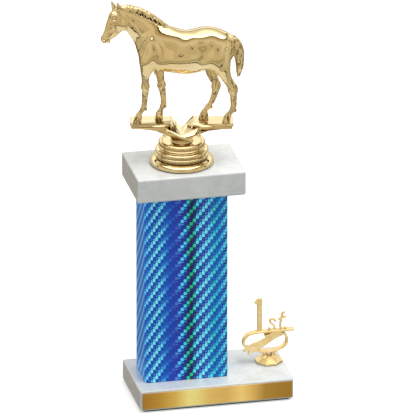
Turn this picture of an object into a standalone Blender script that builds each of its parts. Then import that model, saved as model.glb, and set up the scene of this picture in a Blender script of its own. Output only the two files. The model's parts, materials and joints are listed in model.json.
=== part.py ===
"""A column trophy: marble base and cap, film-wrapped column, screw-on horse figure and a place trim.

Run with: blender --background --python part.py
Metres, +Z up, front of the trophy towards -Y. The origin is the centre of the felt's underside.
Lengths below are written in millimetres and turned into metres by MM where a shape is made.
"""

import math

import bmesh
import bpy
from mathutils import Matrix, Vector

MM = 0.001

# ---------------------------------------------------------------- driving dimensions, in mm
GAP = 0.3  # clearance left between two pieces that rest on each other
THIN_GAP = 0.1  # the same for glued sheets

FELT_T = 1.0
BASE_SIZE = (117.5, 63.5, 16.0)
CAP_SIZE = (82.5, 57.2, 19.0)
CAP_SHIFT_X = 1.5  # the cap's hole is drilled this far left of its middle
STONE_EDGE = 1.4  # rounding of the polished marble edges
AXIS_X = -20.0  # the rod, column, cap and figure stand left of the base's centre

COLUMN_SIZE = (63.5, 34.0, 150.4)
COLUMN_CORNER = 3.0
COLUMN_WALL = 1.6
FILM_T = 0.25
FILM_SEAM = 0.6  # slit down the back where the film's two edges meet

ROD_R = 3.1
ROD_HOLE_R = 3.7
NUT_ACROSS_FLATS = 11.1
NUT_T = 5.5
WASHER_R = 11.0
WASHER_T = 1.5
RECESS_R = 13.0
RECESS_DEPTH = 8.0

PLATE_SIZE = (114.3, 0.6, 12.7)
TAPE_SIZE = (112.0, 0.25, 11.0)

TRIM_X = 47.5
TRIM_Y = 4.0
TRIM_HOLE_R = 2.5
TRIM_RECESS_R = 5.5
TRIM_RECESS_DEPTH = 6.0
SCREW_R = 2.0
SCREW_HEAD_R = 4.0
SCREW_HEAD_T = 2.4

FIGURE_TWIST = math.radians(-12.5)  # the figure is screwed down slightly turned from the cap's front
FIGURE_BASE_H = 18.0
PLINTH_TOP = 33.5  # the hooves' level above the cap
HEAD_TURN = math.radians(10.0)  # the horse looks a little towards the front
SHELL_WALL = 2.0

# ---------------------------------------------------------------- levels, in mm
BASE_Z = FELT_T + GAP
BASE_TOP = BASE_Z + BASE_SIZE[2]
COLUMN_Z = BASE_TOP + GAP
CAP_Z = COLUMN_Z + COLUMN_SIZE[2] + GAP
CAP_TOP = CAP_Z + CAP_SIZE[2]
FIGURE_Z = CAP_TOP + GAP

# ---------------------------------------------------------------- materials: colour, metallic, roughness
FINISHES = {
    "white_marble": ((0.80, 0.81, 0.78), 0.0, 0.18),
    "felt": ((0.03, 0.12, 0.06), 0.0, 0.95),
    "gold_plate": ((0.83, 0.62, 0.22), 1.0, 0.28),
    "adhesive": ((0.85, 0.85, 0.80), 0.0, 0.6),
    "white_styrene": ((0.86, 0.86, 0.84), 0.0, 0.45),
    "blue_film": ((0.05, 0.30, 0.75), 0.6, 0.22),
    "zinc_steel": ((0.66, 0.67, 0.68), 1.0, 0.35),
    "bright_gold": ((0.90, 0.73, 0.38), 1.0, 0.08),
    "satin_gold": ((0.86, 0.68, 0.32), 1.0, 0.35),
}


def clear_scene():
    for obj in list(bpy.data.objects):
        bpy.data.objects.remove(obj, do_unlink=True)


def make_collection(name, hidden):
    collection = bpy.data.collections.new(name)
    bpy.context.scene.collection.children.link(collection)
    collection.hide_render = hidden
    return collection


def make_materials():
    made = {}
    for name, (colour, metallic, roughness) in FINISHES.items():
        material = bpy.data.materials.new(name)
        material.use_nodes = True
        shader = material.node_tree.nodes["Principled BSDF"]
        shader.inputs["Base Color"].default_value = (*colour, 1.0)
        shader.inputs["Metallic"].default_value = metallic
        shader.inputs["Roughness"].default_value = roughness
        made[name] = material
    return made


clear_scene()
PIECES = make_collection("column_trophy", hidden=False)
HELPERS = make_collection("cutters", hidden=True)
MATERIALS = make_materials()


# ---------------------------------------------------------------- general tools
def add_piece(name, data, finish, parent=None, location=(0, 0, 0)):
    """A named sub-part; its location is in mm, in its parent's frame."""
    piece = bpy.data.objects.new(name, data)
    piece.data.materials.append(MATERIALS[finish])
    piece.location = Vector(location) * MM
    piece.parent = parent
    PIECES.objects.link(piece)
    return piece


def add_helper(name, data, parent=None, location=(0, 0, 0)):
    """A cutter, or a shape that a Boolean joins to a piece."""
    helper = bpy.data.objects.new(name, data)
    helper.location = Vector(location) * MM
    helper.parent = parent
    helper.hide_render = True
    helper.display_type = "WIRE"
    HELPERS.objects.link(helper)
    return helper


def add_axis(name, x, y, z, turn=0.0):
    axis = bpy.data.objects.new(name, None)
    axis.location = Vector((x, y, z)) * MM
    axis.rotation_euler = (0, 0, turn)
    PIECES.objects.link(axis)
    return axis


def boolean(target, other, operation):
    modifier = target.modifiers.new(f"{operation.lower()} {other.name}", "BOOLEAN")
    modifier.operation = operation
    modifier.object = other
    return target


def cut(target, other):
    return boolean(target, other, "DIFFERENCE")


def fuse(target, other):
    return boolean(target, other, "UNION")


def round_edges(piece, width, segments=3, angle=40):
    bevel = piece.modifiers.new("rounded edges", "BEVEL")
    bevel.width = width * MM
    bevel.segments = segments
    bevel.limit_method = "ANGLE"
    bevel.angle_limit = math.radians(angle)
    return piece


def mesh_from(fill):
    """A mesh made by fill(bm), which works in mm."""
    bm = bmesh.new()
    fill(bm)
    bmesh.ops.scale(bm, vec=(MM, MM, MM), verts=bm.verts)
    bmesh.ops.recalc_face_normals(bm, faces=bm.faces)
    mesh = bpy.data.meshes.new("mesh")
    bm.to_mesh(mesh)
    bm.free()
    return mesh


def block(size, centre=(0, 0, 0)):
    """A box mesh of that size, in mm."""

    def fill(bm):
        bmesh.ops.create_cube(bm, size=1.0)
        bmesh.ops.scale(bm, vec=size, verts=bm.verts)
        bmesh.ops.translate(bm, vec=centre, verts=bm.verts)

    return mesh_from(fill)


def post(radius, bottom, top, sides=32, top_radius=None, turn=0.0):
    """An upright cylinder, cone or prism mesh between two levels, in mm."""

    def fill(bm):
        bmesh.ops.create_cone(
            bm,
            cap_ends=True,
            segments=sides,
            radius1=radius,
            radius2=radius if top_radius is None else top_radius,
            depth=top - bottom,
        )
        bmesh.ops.rotate(bm, cent=(0, 0, 0), matrix=Matrix.Rotation(turn, 3, "Z"), verts=bm.verts)
        bmesh.ops.translate(bm, vec=(0, 0, (top + bottom) / 2), verts=bm.verts)

    return mesh_from(fill)


def turned(name, profile, steps=40):
    """A mesh object data turned about Z: profile is (radius, height) in mm, down its outer side."""
    mesh = bpy.data.meshes.new(name)
    points = [(r * MM, 0, z * MM) for r, z in profile]
    edges = [(i, i + 1) for i in range(len(points) - 1)]
    mesh.from_pydata(points, edges, [])
    return mesh, steps


def add_screw(piece, steps):
    screw = piece.modifiers.new("turned", "SCREW")
    screw.steps = steps
    screw.render_steps = steps
    screw.use_merge_vertices = True
    screw.merge_threshold = 0.00001
    screw.use_smooth_shade = False


def rounded_rectangle(width, depth, radius, corner_steps=5):
    """Points round a rectangle with arc corners, anticlockwise from the middle of the back edge's right."""
    points = []
    corners = ((1, 1, 0), (-1, 1, 90), (-1, -1, 180), (1, -1, 270))
    for sx, sy, start in corners:
        cx = sx * (width / 2 - radius)
        cy = sy * (depth / 2 - radius)
        for step in range(corner_steps + 1):
            angle = math.radians(start + 90 * step / corner_steps)
            points.append((cx + radius * math.cos(angle), cy + radius * math.sin(angle)))
    return points


def flat_outline(name, loops, thickness):
    """A filled 2D curve in its own XY plane, extruded by half its thickness each way; loops in mm."""
    curve = bpy.data.curves.new(name, "CURVE")
    curve.dimensions = "2D"
    curve.fill_mode = "BOTH"
    curve.extrude = thickness / 2 * MM
    for loop in loops:
        spline = curve.splines.new("POLY")
        spline.points.add(len(loop) - 1)
        for point, (x, y) in zip(spline.points, loop):
            point.co = (x * MM, y * MM, 0, 1)
        spline.use_cyclic_u = True
    return curve


def curve_to_mesh(curve, matrix):
    """The curve's closed mesh, turned by matrix, so that Booleans can use it."""
    holder = bpy.data.objects.new("holder", curve)
    bpy.context.scene.collection.objects.link(holder)
    graph = bpy.context.evaluated_depsgraph_get()
    mesh = bpy.data.meshes.new_from_object(holder.evaluated_get(graph))
    bpy.data.objects.remove(holder)
    bm = bmesh.new()
    bm.from_mesh(mesh)
    bmesh.ops.remove_doubles(bm, verts=bm.verts, dist=0.00001)
    bmesh.ops.transform(bm, matrix=matrix, verts=bm.verts)
    bmesh.ops.recalc_face_normals(bm, faces=bm.faces)
    bm.to_mesh(mesh)
    bm.free()
    return mesh


UPRIGHT = Matrix.Rotation(math.radians(90), 4, "X")  # lays an outline's Y along +Z, its front towards -Y


def side_plate(loops, thickness, y=0.0):
    """An outline drawn in the XZ plane, thickness deep along Y and centred on y."""
    mesh = curve_to_mesh(flat_outline("outline", loops, thickness), UPRIGHT)
    mesh.transform(Matrix.Translation((0, y * MM, 0)))
    return mesh


def smooth_path(points, steps):
    """Catmull-Rom points through tuples of any length."""
    ends = [points[0], *points, points[-1]]
    path = []
    for a, b, c, d in zip(ends, ends[1:], ends[2:], ends[3:]):
        for step in range(steps):
            t = step / steps
            path.append(
                tuple(
                    0.5 * (2 * q + (r - p) * t + (2 * p - 5 * q + 4 * r - s) * t * t + (3 * q - p - 3 * r + s) * t**3)
                    for p, q, r, s in zip(a, b, c, d)
                )
            )
    path.append(tuple(points[-1]))
    return path


# ---------------------------------------------------------------- base, felt, nameplate
def slab(name, size, z, finish, edge, location_xy=(0, 0)):
    piece = add_piece(name, block(size), finish, location=(*location_xy, z + size[2] / 2))
    return round_edges(piece, edge)


def build_base():
    base = slab("base_marble", BASE_SIZE, BASE_Z, "white_marble", STONE_EDGE)
    rod_hole = add_helper("base_rod_hole", post(ROD_HOLE_R, 0, 30, 24), location=(AXIS_X, 0, 0))
    recess = add_helper("base_nut_recess", post(RECESS_R, -5, BASE_Z + RECESS_DEPTH, 36), location=(AXIS_X, 0, 0))
    trim_at = (TRIM_X, TRIM_Y, 0)
    trim_hole = add_helper("base_trim_hole", post(TRIM_HOLE_R, 0, 30, 20), location=trim_at)
    trim_top = BASE_Z + TRIM_RECESS_DEPTH
    trim_recess = add_helper("base_trim_recess", post(TRIM_RECESS_R, -5, trim_top, 24), location=trim_at)
    for cutter in (rod_hole, recess, trim_hole, trim_recess):
        cut(base, cutter)


def build_felt():
    inset = 2.0
    outline = rounded_rectangle(BASE_SIZE[0] - 2 * inset, BASE_SIZE[1] - 2 * inset, 3.0)
    felt = add_piece(
        "base_felt",
        curve_to_mesh(flat_outline("felt", [outline], FELT_T), Matrix.Translation((0, 0, FELT_T / 2 * MM))),
        "felt",
    )
    nut_window = post(RECESS_R + 0.5, -5, 5, 36)
    screw_window = post(TRIM_RECESS_R + 0.5, -5, 5, 24)
    cut(felt, add_helper("felt_nut_window", nut_window, location=(AXIS_X, 0, 0)))
    cut(felt, add_helper("felt_screw_window", screw_window, location=(TRIM_X, TRIM_Y, 0)))


def build_nameplate():
    middle = BASE_Z + BASE_SIZE[2] / 2
    tape_y = -BASE_SIZE[1] / 2 - THIN_GAP - TAPE_SIZE[1] / 2
    plate_y = tape_y - TAPE_SIZE[1] / 2 - THIN_GAP - PLATE_SIZE[1] / 2
    add_piece("nameplate_tape", block(TAPE_SIZE), "adhesive", location=(0, tape_y, middle))
    plate = add_piece("nameplate", block(PLATE_SIZE), "gold_plate", location=(0, plate_y, middle))
    round_edges(plate, 0.12, 1)


# ---------------------------------------------------------------- column
def build_column():
    width, depth, height = COLUMN_SIZE
    middle = (AXIS_X, 0, COLUMN_Z + height / 2)
    film_in = FILM_T * 2
    tube_out = film_in + THIN_GAP * 2
    outer = rounded_rectangle(width - tube_out, depth - tube_out, COLUMN_CORNER - tube_out / 2)
    bore = tube_out + 2 * COLUMN_WALL
    inner = rounded_rectangle(width - bore, depth - bore, COLUMN_CORNER - bore / 2 + 0.6)
    tube = curve_to_mesh(flat_outline("tube", [outer, inner], height), Matrix())
    add_piece("column_tube", tube, "white_styrene", location=middle)

    film_outer = rounded_rectangle(width, depth, COLUMN_CORNER)
    film_inner = rounded_rectangle(width - film_in, depth - film_in, COLUMN_CORNER - FILM_T)
    film = curve_to_mesh(flat_outline("film", [film_outer, film_inner], height), Matrix())
    sleeve = add_piece("column_film", film, "blue_film", location=middle)
    seam = add_helper("film_seam", block((FILM_SEAM, depth / 2, height + 10)), location=(AXIS_X, depth / 2, middle[2]))
    cut(sleeve, seam)
    return width - bore, depth - bore


def build_inserts(bore_width, bore_depth):
    """Plastic cups inside the two ends of the tube, which keep the rod in its middle."""
    floor, skirt, wall = 2.4, 12.0, 1.6
    width = bore_width - 2 * GAP
    depth = bore_depth - 2 * GAP
    outline = rounded_rectangle(width, depth, 2.0)
    for name, z, side in (("column_insert_lower", COLUMN_Z, 1), ("column_insert_upper", CAP_Z - GAP, -1)):
        raised = Matrix.Translation((0, 0, side * skirt / 2 * MM))
        cup_mesh = curve_to_mesh(flat_outline("cup", [outline], skirt), raised)
        cup = add_piece(name, cup_mesh, "white_styrene", location=(AXIS_X, 0, z))
        pocket_size = (width - 2 * wall, depth - 2 * wall, skirt)
        pocket = block(pocket_size, (0, 0, side * (floor + skirt / 2)))
        cut(cup, add_helper(f"{name}_pocket", pocket, location=(AXIS_X, 0, z)))
        bore = post(ROD_HOLE_R, -skirt * 2, skirt * 2, 20)
        cut(cup, add_helper(f"{name}_bore", bore, location=(AXIS_X, 0, z)))


# ---------------------------------------------------------------- cap
def build_cap():
    cap = slab("cap_marble", CAP_SIZE, CAP_Z, "white_marble", STONE_EDGE, (AXIS_X + CAP_SHIFT_X, 0))
    cut(cap, add_helper("cap_rod_hole", post(ROD_HOLE_R, 0, 2 * CAP_SIZE[2], 24), location=(AXIS_X, 0, CAP_Z - 10)))


# ---------------------------------------------------------------- rod, nuts, washers, trim screw
def hex_nut(name, axis, bottom, thickness):
    corner = NUT_ACROSS_FLATS / math.sqrt(3)
    nut = add_piece(name, post(corner, bottom, bottom + thickness, 6), "zinc_steel", axis)
    round_edges(nut, 0.5, 1, 50)
    return cut(nut, add_helper(f"{name}_bore", post(ROD_R + GAP, bottom - 5, bottom + thickness + 5, 20), axis))


def washer(name, axis, bottom, radius, thickness, bore, finish="zinc_steel"):
    disc = add_piece(name, post(radius, bottom, bottom + thickness, 32), finish, axis)
    return cut(disc, add_helper(f"{name}_bore", post(bore, bottom - 5, bottom + thickness + 5, 20), axis))


def build_rod(figure_axis, nut_bottom):
    """The threaded rod and its fixings; heights are below or above the cap's top, the figure axis's origin."""
    underside = BASE_Z - FIGURE_Z
    washer_z = underside + RECESS_DEPTH - GAP - WASHER_T
    washer("rod_washer", figure_axis, washer_z, WASHER_R, WASHER_T, ROD_R + 0.4)
    hex_nut("rod_nut", figure_axis, washer_z - GAP - NUT_T, NUT_T)
    rod_bottom = underside + 0.4
    rod_top = nut_bottom + NUT_T + 1.0
    rod = add_piece("rod", post(ROD_R, rod_bottom, rod_top, 24), "zinc_steel", figure_axis)
    round_edges(rod, 0.6, 1, 60)


def build_trim_screw(trim_axis, foot_bore_top):
    """A pan-head screw up through the base; heights are from the base's top."""
    washer_t = 0.8
    seat = TRIM_RECESS_DEPTH - BASE_SIZE[2]
    washer("trim_washer", trim_axis, seat - THIN_GAP * 2 - washer_t, 4.8, washer_t, SCREW_R + 0.3)
    head_top = seat - THIN_GAP * 4 - washer_t
    screw = add_piece("trim_screw", post(SCREW_HEAD_R, head_top - SCREW_HEAD_T, head_top, 24), "zinc_steel", trim_axis)
    round_edges(screw, 0.5, 1, 50)
    fuse(screw, add_helper("trim_screw_shank", post(SCREW_R, head_top - 1.0, foot_bore_top - 0.4, 16), trim_axis))
    slot = block((10, 1.2, 1.6), (0, 0, head_top - SCREW_HEAD_T))
    cut(screw, add_helper("trim_screw_slot", slot, trim_axis))


# ---------------------------------------------------------------- figure base
NUT_POCKET_TOP = 12.0
SOCKET_R = 5.4
SOCKET_DEPTH = 2.6


def build_figure_base(figure_axis):
    """The turned riser: a flange, a double bead and a dished top disc, hollow underneath round a nut boss."""
    top = FIGURE_BASE_H
    outside = [
        (SOCKET_R, top - 0.5),
        (14.6, top - 0.5),
        (15.6, top),
        (16.6, top - 0.4),
        (17.2, top - 1.6),
        (16.9, top - 3.0),
        (16.2, 14.2),
        (16.6, 13.2),
        (18.4, 12.4),
        (19.4, 11.0),
        (19.3, 9.4),
        (19.0, 9.0),
        (19.9, 8.2),
        (19.7, 6.6),
        (18.9, 5.8),
        (19.4, 5.0),
        (21.6, 4.4),
        (23.2, 3.2),
        (23.8, 1.8),
        (23.4, 0.0),
    ]
    wall = 2.0
    inside = [
        (21.6, 0.0),
        (21.2, 2.4),
        (17.0, 4.6),
        (17.0, 10.6),
        (14.4, 13.4),
        (9.0, 13.4),
        (9.0, 5.0),
        (3.6, 5.0),
        (3.6, top - SOCKET_DEPTH - wall),
        (0.0, top - SOCKET_DEPTH - wall),
    ]
    socket = [(0.0, top - SOCKET_DEPTH), (SOCKET_R, top - SOCKET_DEPTH)]
    mesh, steps = turned("figure_base", socket + outside + inside)
    base = add_piece("figure_base", mesh, "bright_gold", figure_axis)
    add_screw(base, steps)
    pocket_corner = (NUT_ACROSS_FLATS + 2 * GAP) / math.sqrt(3)
    pocket = post(pocket_corner, 0, NUT_POCKET_TOP, 6)
    cut(base, add_helper("figure_nut_pocket", pocket, figure_axis))
    hex_nut("figure_nut", figure_axis, NUT_POCKET_TOP - GAP - NUT_T, NUT_T)


# ---------------------------------------------------------------- plinth with the faceted V
PLINTH_HALF_LENGTH = 38.6
PLINTH_DEPTH = 15.0
SHELF_T = 4.4
V_FRONT = -9.7
V_NOTCH_Z = -8.7
V_CREST_Z = 0.3
V_CREST_Y = 3.0
V_RIDGE_Z = -2.5
V_BOTTOM_Z = -13.8
V_BOTTOM_Y = -7.6


def v_block():
    """The V: an outline extruded front to back, cut by two planes that meet in a ridge and one that leans back."""
    half = [(7.8, V_CREST_Z), (12.2, V_RIDGE_Z), (9.2, -11.6), (6.6, V_BOTTOM_Z)]
    outline = [(0, V_NOTCH_Z), *half, *[(-x, z) for x, z in reversed(half)]]
    back = PLINTH_DEPTH / 2
    mesh = side_plate([outline], back - V_FRONT, (back + V_FRONT) / 2)
    bm = bmesh.new()
    bm.from_mesh(mesh)
    ridge = Vector((0, V_FRONT, V_RIDGE_Z)) * MM
    crest = Vector((0, V_CREST_Y, V_CREST_Z)) * MM
    foot = Vector((0, V_BOTTOM_Y, V_BOTTOM_Z)) * MM
    rear = Vector((0, back, V_RIDGE_Z)) * MM
    for start, end, front, up in ((ridge, crest, -1, 1), (ridge, foot, -1, -1), (rear, crest, 1, 1)):
        along = (end - start).normalized()
        normal = Vector((0, front * abs(along.z), up * abs(along.y)))
        cut_faces = bmesh.ops.bisect_plane(
            bm, geom=bm.verts[:] + bm.edges[:] + bm.faces[:], plane_co=start, plane_no=normal, clear_outer=True
        )
        edges = [e for e in cut_faces["geom_cut"] if isinstance(e, bmesh.types.BMEdge)]
        bmesh.ops.edgeloop_fill(bm, edges=edges)
    bmesh.ops.recalc_face_normals(bm, faces=bm.faces)
    bm.to_mesh(mesh)
    bm.free()
    return mesh


def build_plinth(figure_axis):
    """The V, two shelves for the hooves, a keel under each shelf, and the neck that plugs into the base."""
    level = (0, 0, PLINTH_TOP)
    plinth = add_piece("figure_plinth", v_block(), "bright_gold", figure_axis, level)
    inner_end = 7.0
    length = PLINTH_HALF_LENGTH - inner_end
    for name, side in (("left", -1), ("right", 1)):
        centre_x = side * (inner_end + length / 2)
        shelf = add_helper(
            f"plinth_{name}_shelf", block((length, PLINTH_DEPTH, SHELF_T), (centre_x, 0, -SHELF_T / 2)), figure_axis, level
        )
        round_edges(shelf, 1.0, 2)
        keel_line = smooth_path([(28, -4.0), (24, -5.6), (18, -8.0), (12, -10.6), (7, -12.4)], 2)
        keel = [(side * x, z) for x, z in [(28, -3.0), *keel_line, (5, -12.4), (5, -3.0)]]
        fuse(plinth, shelf)
        fuse(plinth, add_helper(f"plinth_{name}_keel", side_plate([keel], 9.0), figure_axis, level))
    neck_bottom = FIGURE_BASE_H - 0.5 + GAP
    neck = post(8.6, neck_bottom, PLINTH_TOP - 10, 16, top_radius=8.6)
    fuse(plinth, add_helper("plinth_neck", neck, figure_axis))
    spigot = post(SOCKET_R - GAP, FIGURE_BASE_H - SOCKET_DEPTH + GAP, PLINTH_TOP - 10, 20)
    fuse(plinth, add_helper("plinth_spigot", spigot, figure_axis))


# ---------------------------------------------------------------- the horse
# Each line is a chain of stations (x, z, y, half depth across the chain, half width), in mm.
# x runs from nose to tail, z up from the hooves, y away from the front of the trophy.
TORSO = [
    (-27.5, 54, 0, 5.0, 4.5),
    (-24, 55.5, 0, 12.5, 8.2),
    (-18, 57, 0, 16.0, 9.8),
    (-10, 57, 0, 17.6, 10.8),
    (-2, 54.8, 0, 16.3, 11.6),
    (5, 54.2, 0, 15.6, 11.8),
    (12, 56.2, 0, 15.8, 11.4),
    (19, 59.4, 0, 14.6, 11.2),
    (25, 58.6, 0, 14.0, 10.6),
    (30, 56.5, 0, 12.0, 8.8),
    (33.8, 54.5, 0, 7.0, 5.5),
    (35.8, 54, 0, 2.0, 2.0),
]
NECK = [
    (-18, 61, 0, 14.0, 8.4),
    (-25, 69.5, 0, 12.6, 6.8),
    (-30, 74.4, 0, 11.0, 5.8),
    (-34.5, 78.2, 0, 9.6, 5.0),
    (-38.5, 81.8, 0, 7.4, 4.4),
    (-43.5, 84.5, 0, 5.6, 3.9),
]
HEAD = [
    (-45.0, 84.6, 0, 6.2, 4.2),
    (-48.0, 80.0, 0, 7.4, 4.4),
    (-50.4, 76.0, 0, 6.4, 3.8),
    (-52.8, 72.2, 0, 5.0, 3.1),
    (-55.0, 68.9, 0, 4.1, 2.8),
    (-56.9, 66.2, 0, 3.4, 2.8),
]
MANE = [
    (-45.5, 91.0, 0, 1.2, 1.3),
    (-40, 90.9, 0, 1.9, 1.7),
    (-30, 87.6, 0, 1.9, 1.7),
    (-21, 82.6, 0, 1.9, 1.7),
    (-14, 76.7, 0, 1.7, 1.6),
    (-8, 73.6, 0, 1.0, 1.2),
]
TAIL = [
    (31, 67.0, 0, 2.0, 2.4),
    (36, 65.6, 0, 2.6, 2.8),
    (40.0, 61.0, 0, 3.8, 3.2),
    (41.8, 54.0, 0, 4.3, 3.4),
    (43.0, 47.0, 0, 3.3, 3.0),
    (42.9, 41.0, 0, 2.7, 2.4),
    (42.6, 36.6, 0, 1.6, 1.6),
]
NEAR_FORELEG = [
    (-21, 60, -5.6, 7.5, 4.0),
    (-25.2, 52, -6.0, 6.2, 4.2),
    (-26.0, 45.5, -5.9, 5.2, 3.9),
    (-26.8, 40.5, -5.7, 4.1, 3.4),
    (-27.2, 35.5, -5.5, 3.0, 2.7),
    (-27.1, 31.5, -5.4, 2.9, 2.6),
    (-27.0, 28.3, -5.3, 3.2, 2.8),
    (-27.4, 24.5, -5.2, 2.5, 2.2),
    (-28.0, 19.0, -5.1, 1.9, 1.7),
    (-28.4, 14.0, -5.0, 1.9, 1.8),
    (-28.5, 11.4, -5.0, 2.4, 2.1),
    (-30.3, 8.4, -4.9, 2.1, 2.0),
    (-31.8, 5.8, -4.9, 2.6, 2.4),
]
FAR_FORELEG = [
    (-19.5, 50, 5.4, 6.0, 3.8),
    (-17.8, 41, 5.3, 4.8, 3.5),
    (-16.0, 33, 4.9, 3.4, 2.9),
    (-15.5, 28.8, 4.6, 3.1, 2.7),
    (-15.1, 25.6, 4.4, 3.2, 2.8),
    (-14.7, 21.5, 4.1, 2.4, 2.3),
    (-14.3, 17.0, 3.8, 1.9, 1.8),
    (-14.0, 13.0, 3.6, 1.9, 1.8),
    (-13.8, 10.4, 3.4, 2.3, 2.1),
    (-15.3, 7.8, 3.3, 2.0, 1.9),
    (-16.4, 5.4, 3.2, 2.5, 2.3),
]
NEAR_HIND_LEG = [
    (25.5, 60, -4.6, 9.5, 5.6),
    (27.2, 53, -5.5, 9.3, 5.6),
    (29.0, 47, -6.1, 7.8, 5.0),
    (31.3, 41, -6.1, 5.2, 3.9),
    (33.1, 36, -5.8, 4.0, 3.0),
    (35.4, 31.2, -5.6, 3.2, 2.5),
    (37.4, 27.2, -5.4, 3.6, 2.8),
    (37.9, 23.0, -5.3, 2.8, 2.3),
    (38.0, 18.0, -5.2, 2.0, 1.8),
    (38.1, 13.5, -5.2, 2.0, 1.9),
    (38.0, 10.6, -5.1, 2.5, 2.2),
    (36.0, 7.8, -5.0, 2.1, 2.0),
    (34.3, 5.4, -5.0, 2.6, 2.4),
]
FAR_HIND_LEG = [
    (24.5, 54, 5.0, 8.8, 5.2),
    (23.0, 45, 5.6, 6.8, 4.6),
    (22.4, 38, 5.4, 4.9, 3.6),
    (23.4, 32, 5.0, 3.5, 2.8),
    (25.0, 28.0, 4.7, 3.3, 2.7),
    (25.3, 24.8, 4.4, 3.5, 2.8),
    (24.4, 21.2, 4.2, 2.6, 2.3),
    (22.9, 16.4, 3.9, 2.0, 1.9),
    (21.4, 12.8, 3.7, 2.0, 1.9),
    (19.9, 9.7, 3.5, 2.5, 2.2),
    (17.7, 7.5, 3.4, 2.1, 2.0),
    (16.6, 5.2, 3.3, 2.6, 2.3),
]
EARS = [
    [(-47.0, 88.4, -2.3, 1.7, 1.3), (-47.7, 92.4, -2.7, 1.7, 1.0), (-48.4, 96.2, -3.0, 0.6, 0.6)],
    [(-49.4, 87.6, 2.2, 1.7, 1.3), (-50.6, 91.4, 2.6, 1.6, 1.0), (-51.6, 94.8, 2.9, 0.6, 0.6)],
]
# Hooves: (heel x, toe x at the ground, top centre x, y)
HOOVES = [(-29.9, -36.8, -32.1, -4.9), (-13.9, -20.4, -16.6, 3.2), (36.1, 29.7, 34.0, -5.0), (19.9, 12.6, 16.5, 3.3)]
HOOF_TOP = 5.2
HOOF_HALF_WIDTH = 2.7
RING_SIDES = 12
SHELL_CORE_REACH = (1, 9)  # the torso stations that the hollow follows
HORSE_VOXEL = 0.85
HORSE_TRIANGLES_KEPT = 0.16


def add_ring(bm, centre, across, half_depth, half_width):
    ring = []
    for step in range(RING_SIDES):
        angle = 2 * math.pi * step / RING_SIDES
        offset = across * (half_depth * math.cos(angle)) + Vector((0, half_width * math.sin(angle), 0))
        ring.append(bm.verts.new(centre + offset))
    return ring


def add_chain(bm, stations, inset=0.0):
    """An elliptical loft along stations in the XZ plane, with a rounded end at both ends."""
    centres = [Vector((x, y, z)) for x, z, y, _, _ in stations]
    rings = []
    last = len(stations) - 1
    for i, (_, _, _, depth, width) in enumerate(stations):
        along = centres[min(i + 1, last)] - centres[max(i - 1, 0)]
        along = Vector((along.x, 0, along.z)).normalized()
        across = Vector((-along.z, 0, along.x))
        depth, width = depth - inset, width - inset
        rounding = [(0.94, 0.34), (0.7, 0.71)]  # share of the ring's size, share of the radius past the end
        if i == 0:
            for size, past in reversed(rounding):
                ring_at = centres[0] - along * (past * min(depth, width))
                rings.append(add_ring(bm, ring_at, across, depth * size, width * size))
        rings.append(add_ring(bm, centres[i], across, depth, width))
        if i == last:
            for size, past in rounding:
                ring_at = centres[i] + along * (past * min(depth, width))
                rings.append(add_ring(bm, ring_at, across, depth * size, width * size))
    for lower, upper in zip(rings, rings[1:]):
        for i in range(RING_SIDES):
            j = (i + 1) % RING_SIDES
            bm.faces.new((lower[i], lower[j], upper[j], upper[i]))
    bm.faces.new(reversed(rings[0]))
    bm.faces.new(rings[-1])


def add_hoof(bm, heel, toe, top_x, y):
    """A short oval cone that flares to the ground."""
    middle = (heel + toe) / 2
    across = Vector((1, 0, 0))
    foot = add_ring(bm, Vector((middle, y, -0.5)), across, abs(heel - toe) / 2, HOOF_HALF_WIDTH)
    top = add_ring(bm, Vector((top_x, y, HOOF_TOP)), across, abs(heel - toe) / 2 * 0.74, HOOF_HALF_WIDTH * 0.9)
    for i in range(RING_SIDES):
        j = (i + 1) % RING_SIDES
        bm.faces.new((foot[i], foot[j], top[j], top[i]))
    bm.faces.new(reversed(foot))
    bm.faces.new(top)


def horse_body():
    """The whole horse as one closed, simplified surface, still solid and looking straight ahead."""

    def fill(bm):
        chains = [TORSO, NECK, HEAD, MANE, TAIL, NEAR_FORELEG, FAR_FORELEG, NEAR_HIND_LEG, FAR_HIND_LEG, *EARS]
        for chain in chains:
            add_chain(bm, smooth_path(chain, 2))
        for hoof in HOOVES:
            add_hoof(bm, *hoof)

    holder = bpy.data.objects.new("horse", mesh_from(fill))
    bpy.context.scene.collection.objects.link(holder)
    remesh = holder.modifiers.new("one skin", "REMESH")
    remesh.mode = "VOXEL"
    remesh.voxel_size = HORSE_VOXEL * MM
    smooth = holder.modifiers.new("soften", "SMOOTH")
    smooth.factor = 0.5
    smooth.iterations = 3
    fewer = holder.modifiers.new("fewer", "DECIMATE")
    fewer.ratio = HORSE_TRIANGLES_KEPT
    graph = bpy.context.evaluated_depsgraph_get()
    mesh = bpy.data.meshes.new_from_object(holder.evaluated_get(graph))
    bpy.data.objects.remove(holder)
    return mesh


def bend(point):
    """Turns a point of the head or upper neck about the vertical, more towards the nose; lengths in mm."""
    start, end = -30.0, -46.0
    pivot = Vector((-38.0, 0, 0))
    share = min(1.0, max(0.0, (point.x - start) / (end - start)))
    share = share * share * (3 - 2 * share)
    return pivot + Matrix.Rotation(HEAD_TURN * share, 3, "Z") @ (point - pivot)


def horse_side(side):
    """A tall block on one side of the horse's middle, its near wall bent as the head and neck are."""
    middle = [bend(Vector((float(x), side * GAP / 2, 0))) for x in range(-80, 61, 4)]
    outline = [(point.x, point.y) for point in middle] + [(60, side * 70), (-100, side * 70)]
    return curve_to_mesh(flat_outline("side", [outline], 160), Matrix.Translation((0, 0, (80 + GAP) * MM)))


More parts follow.
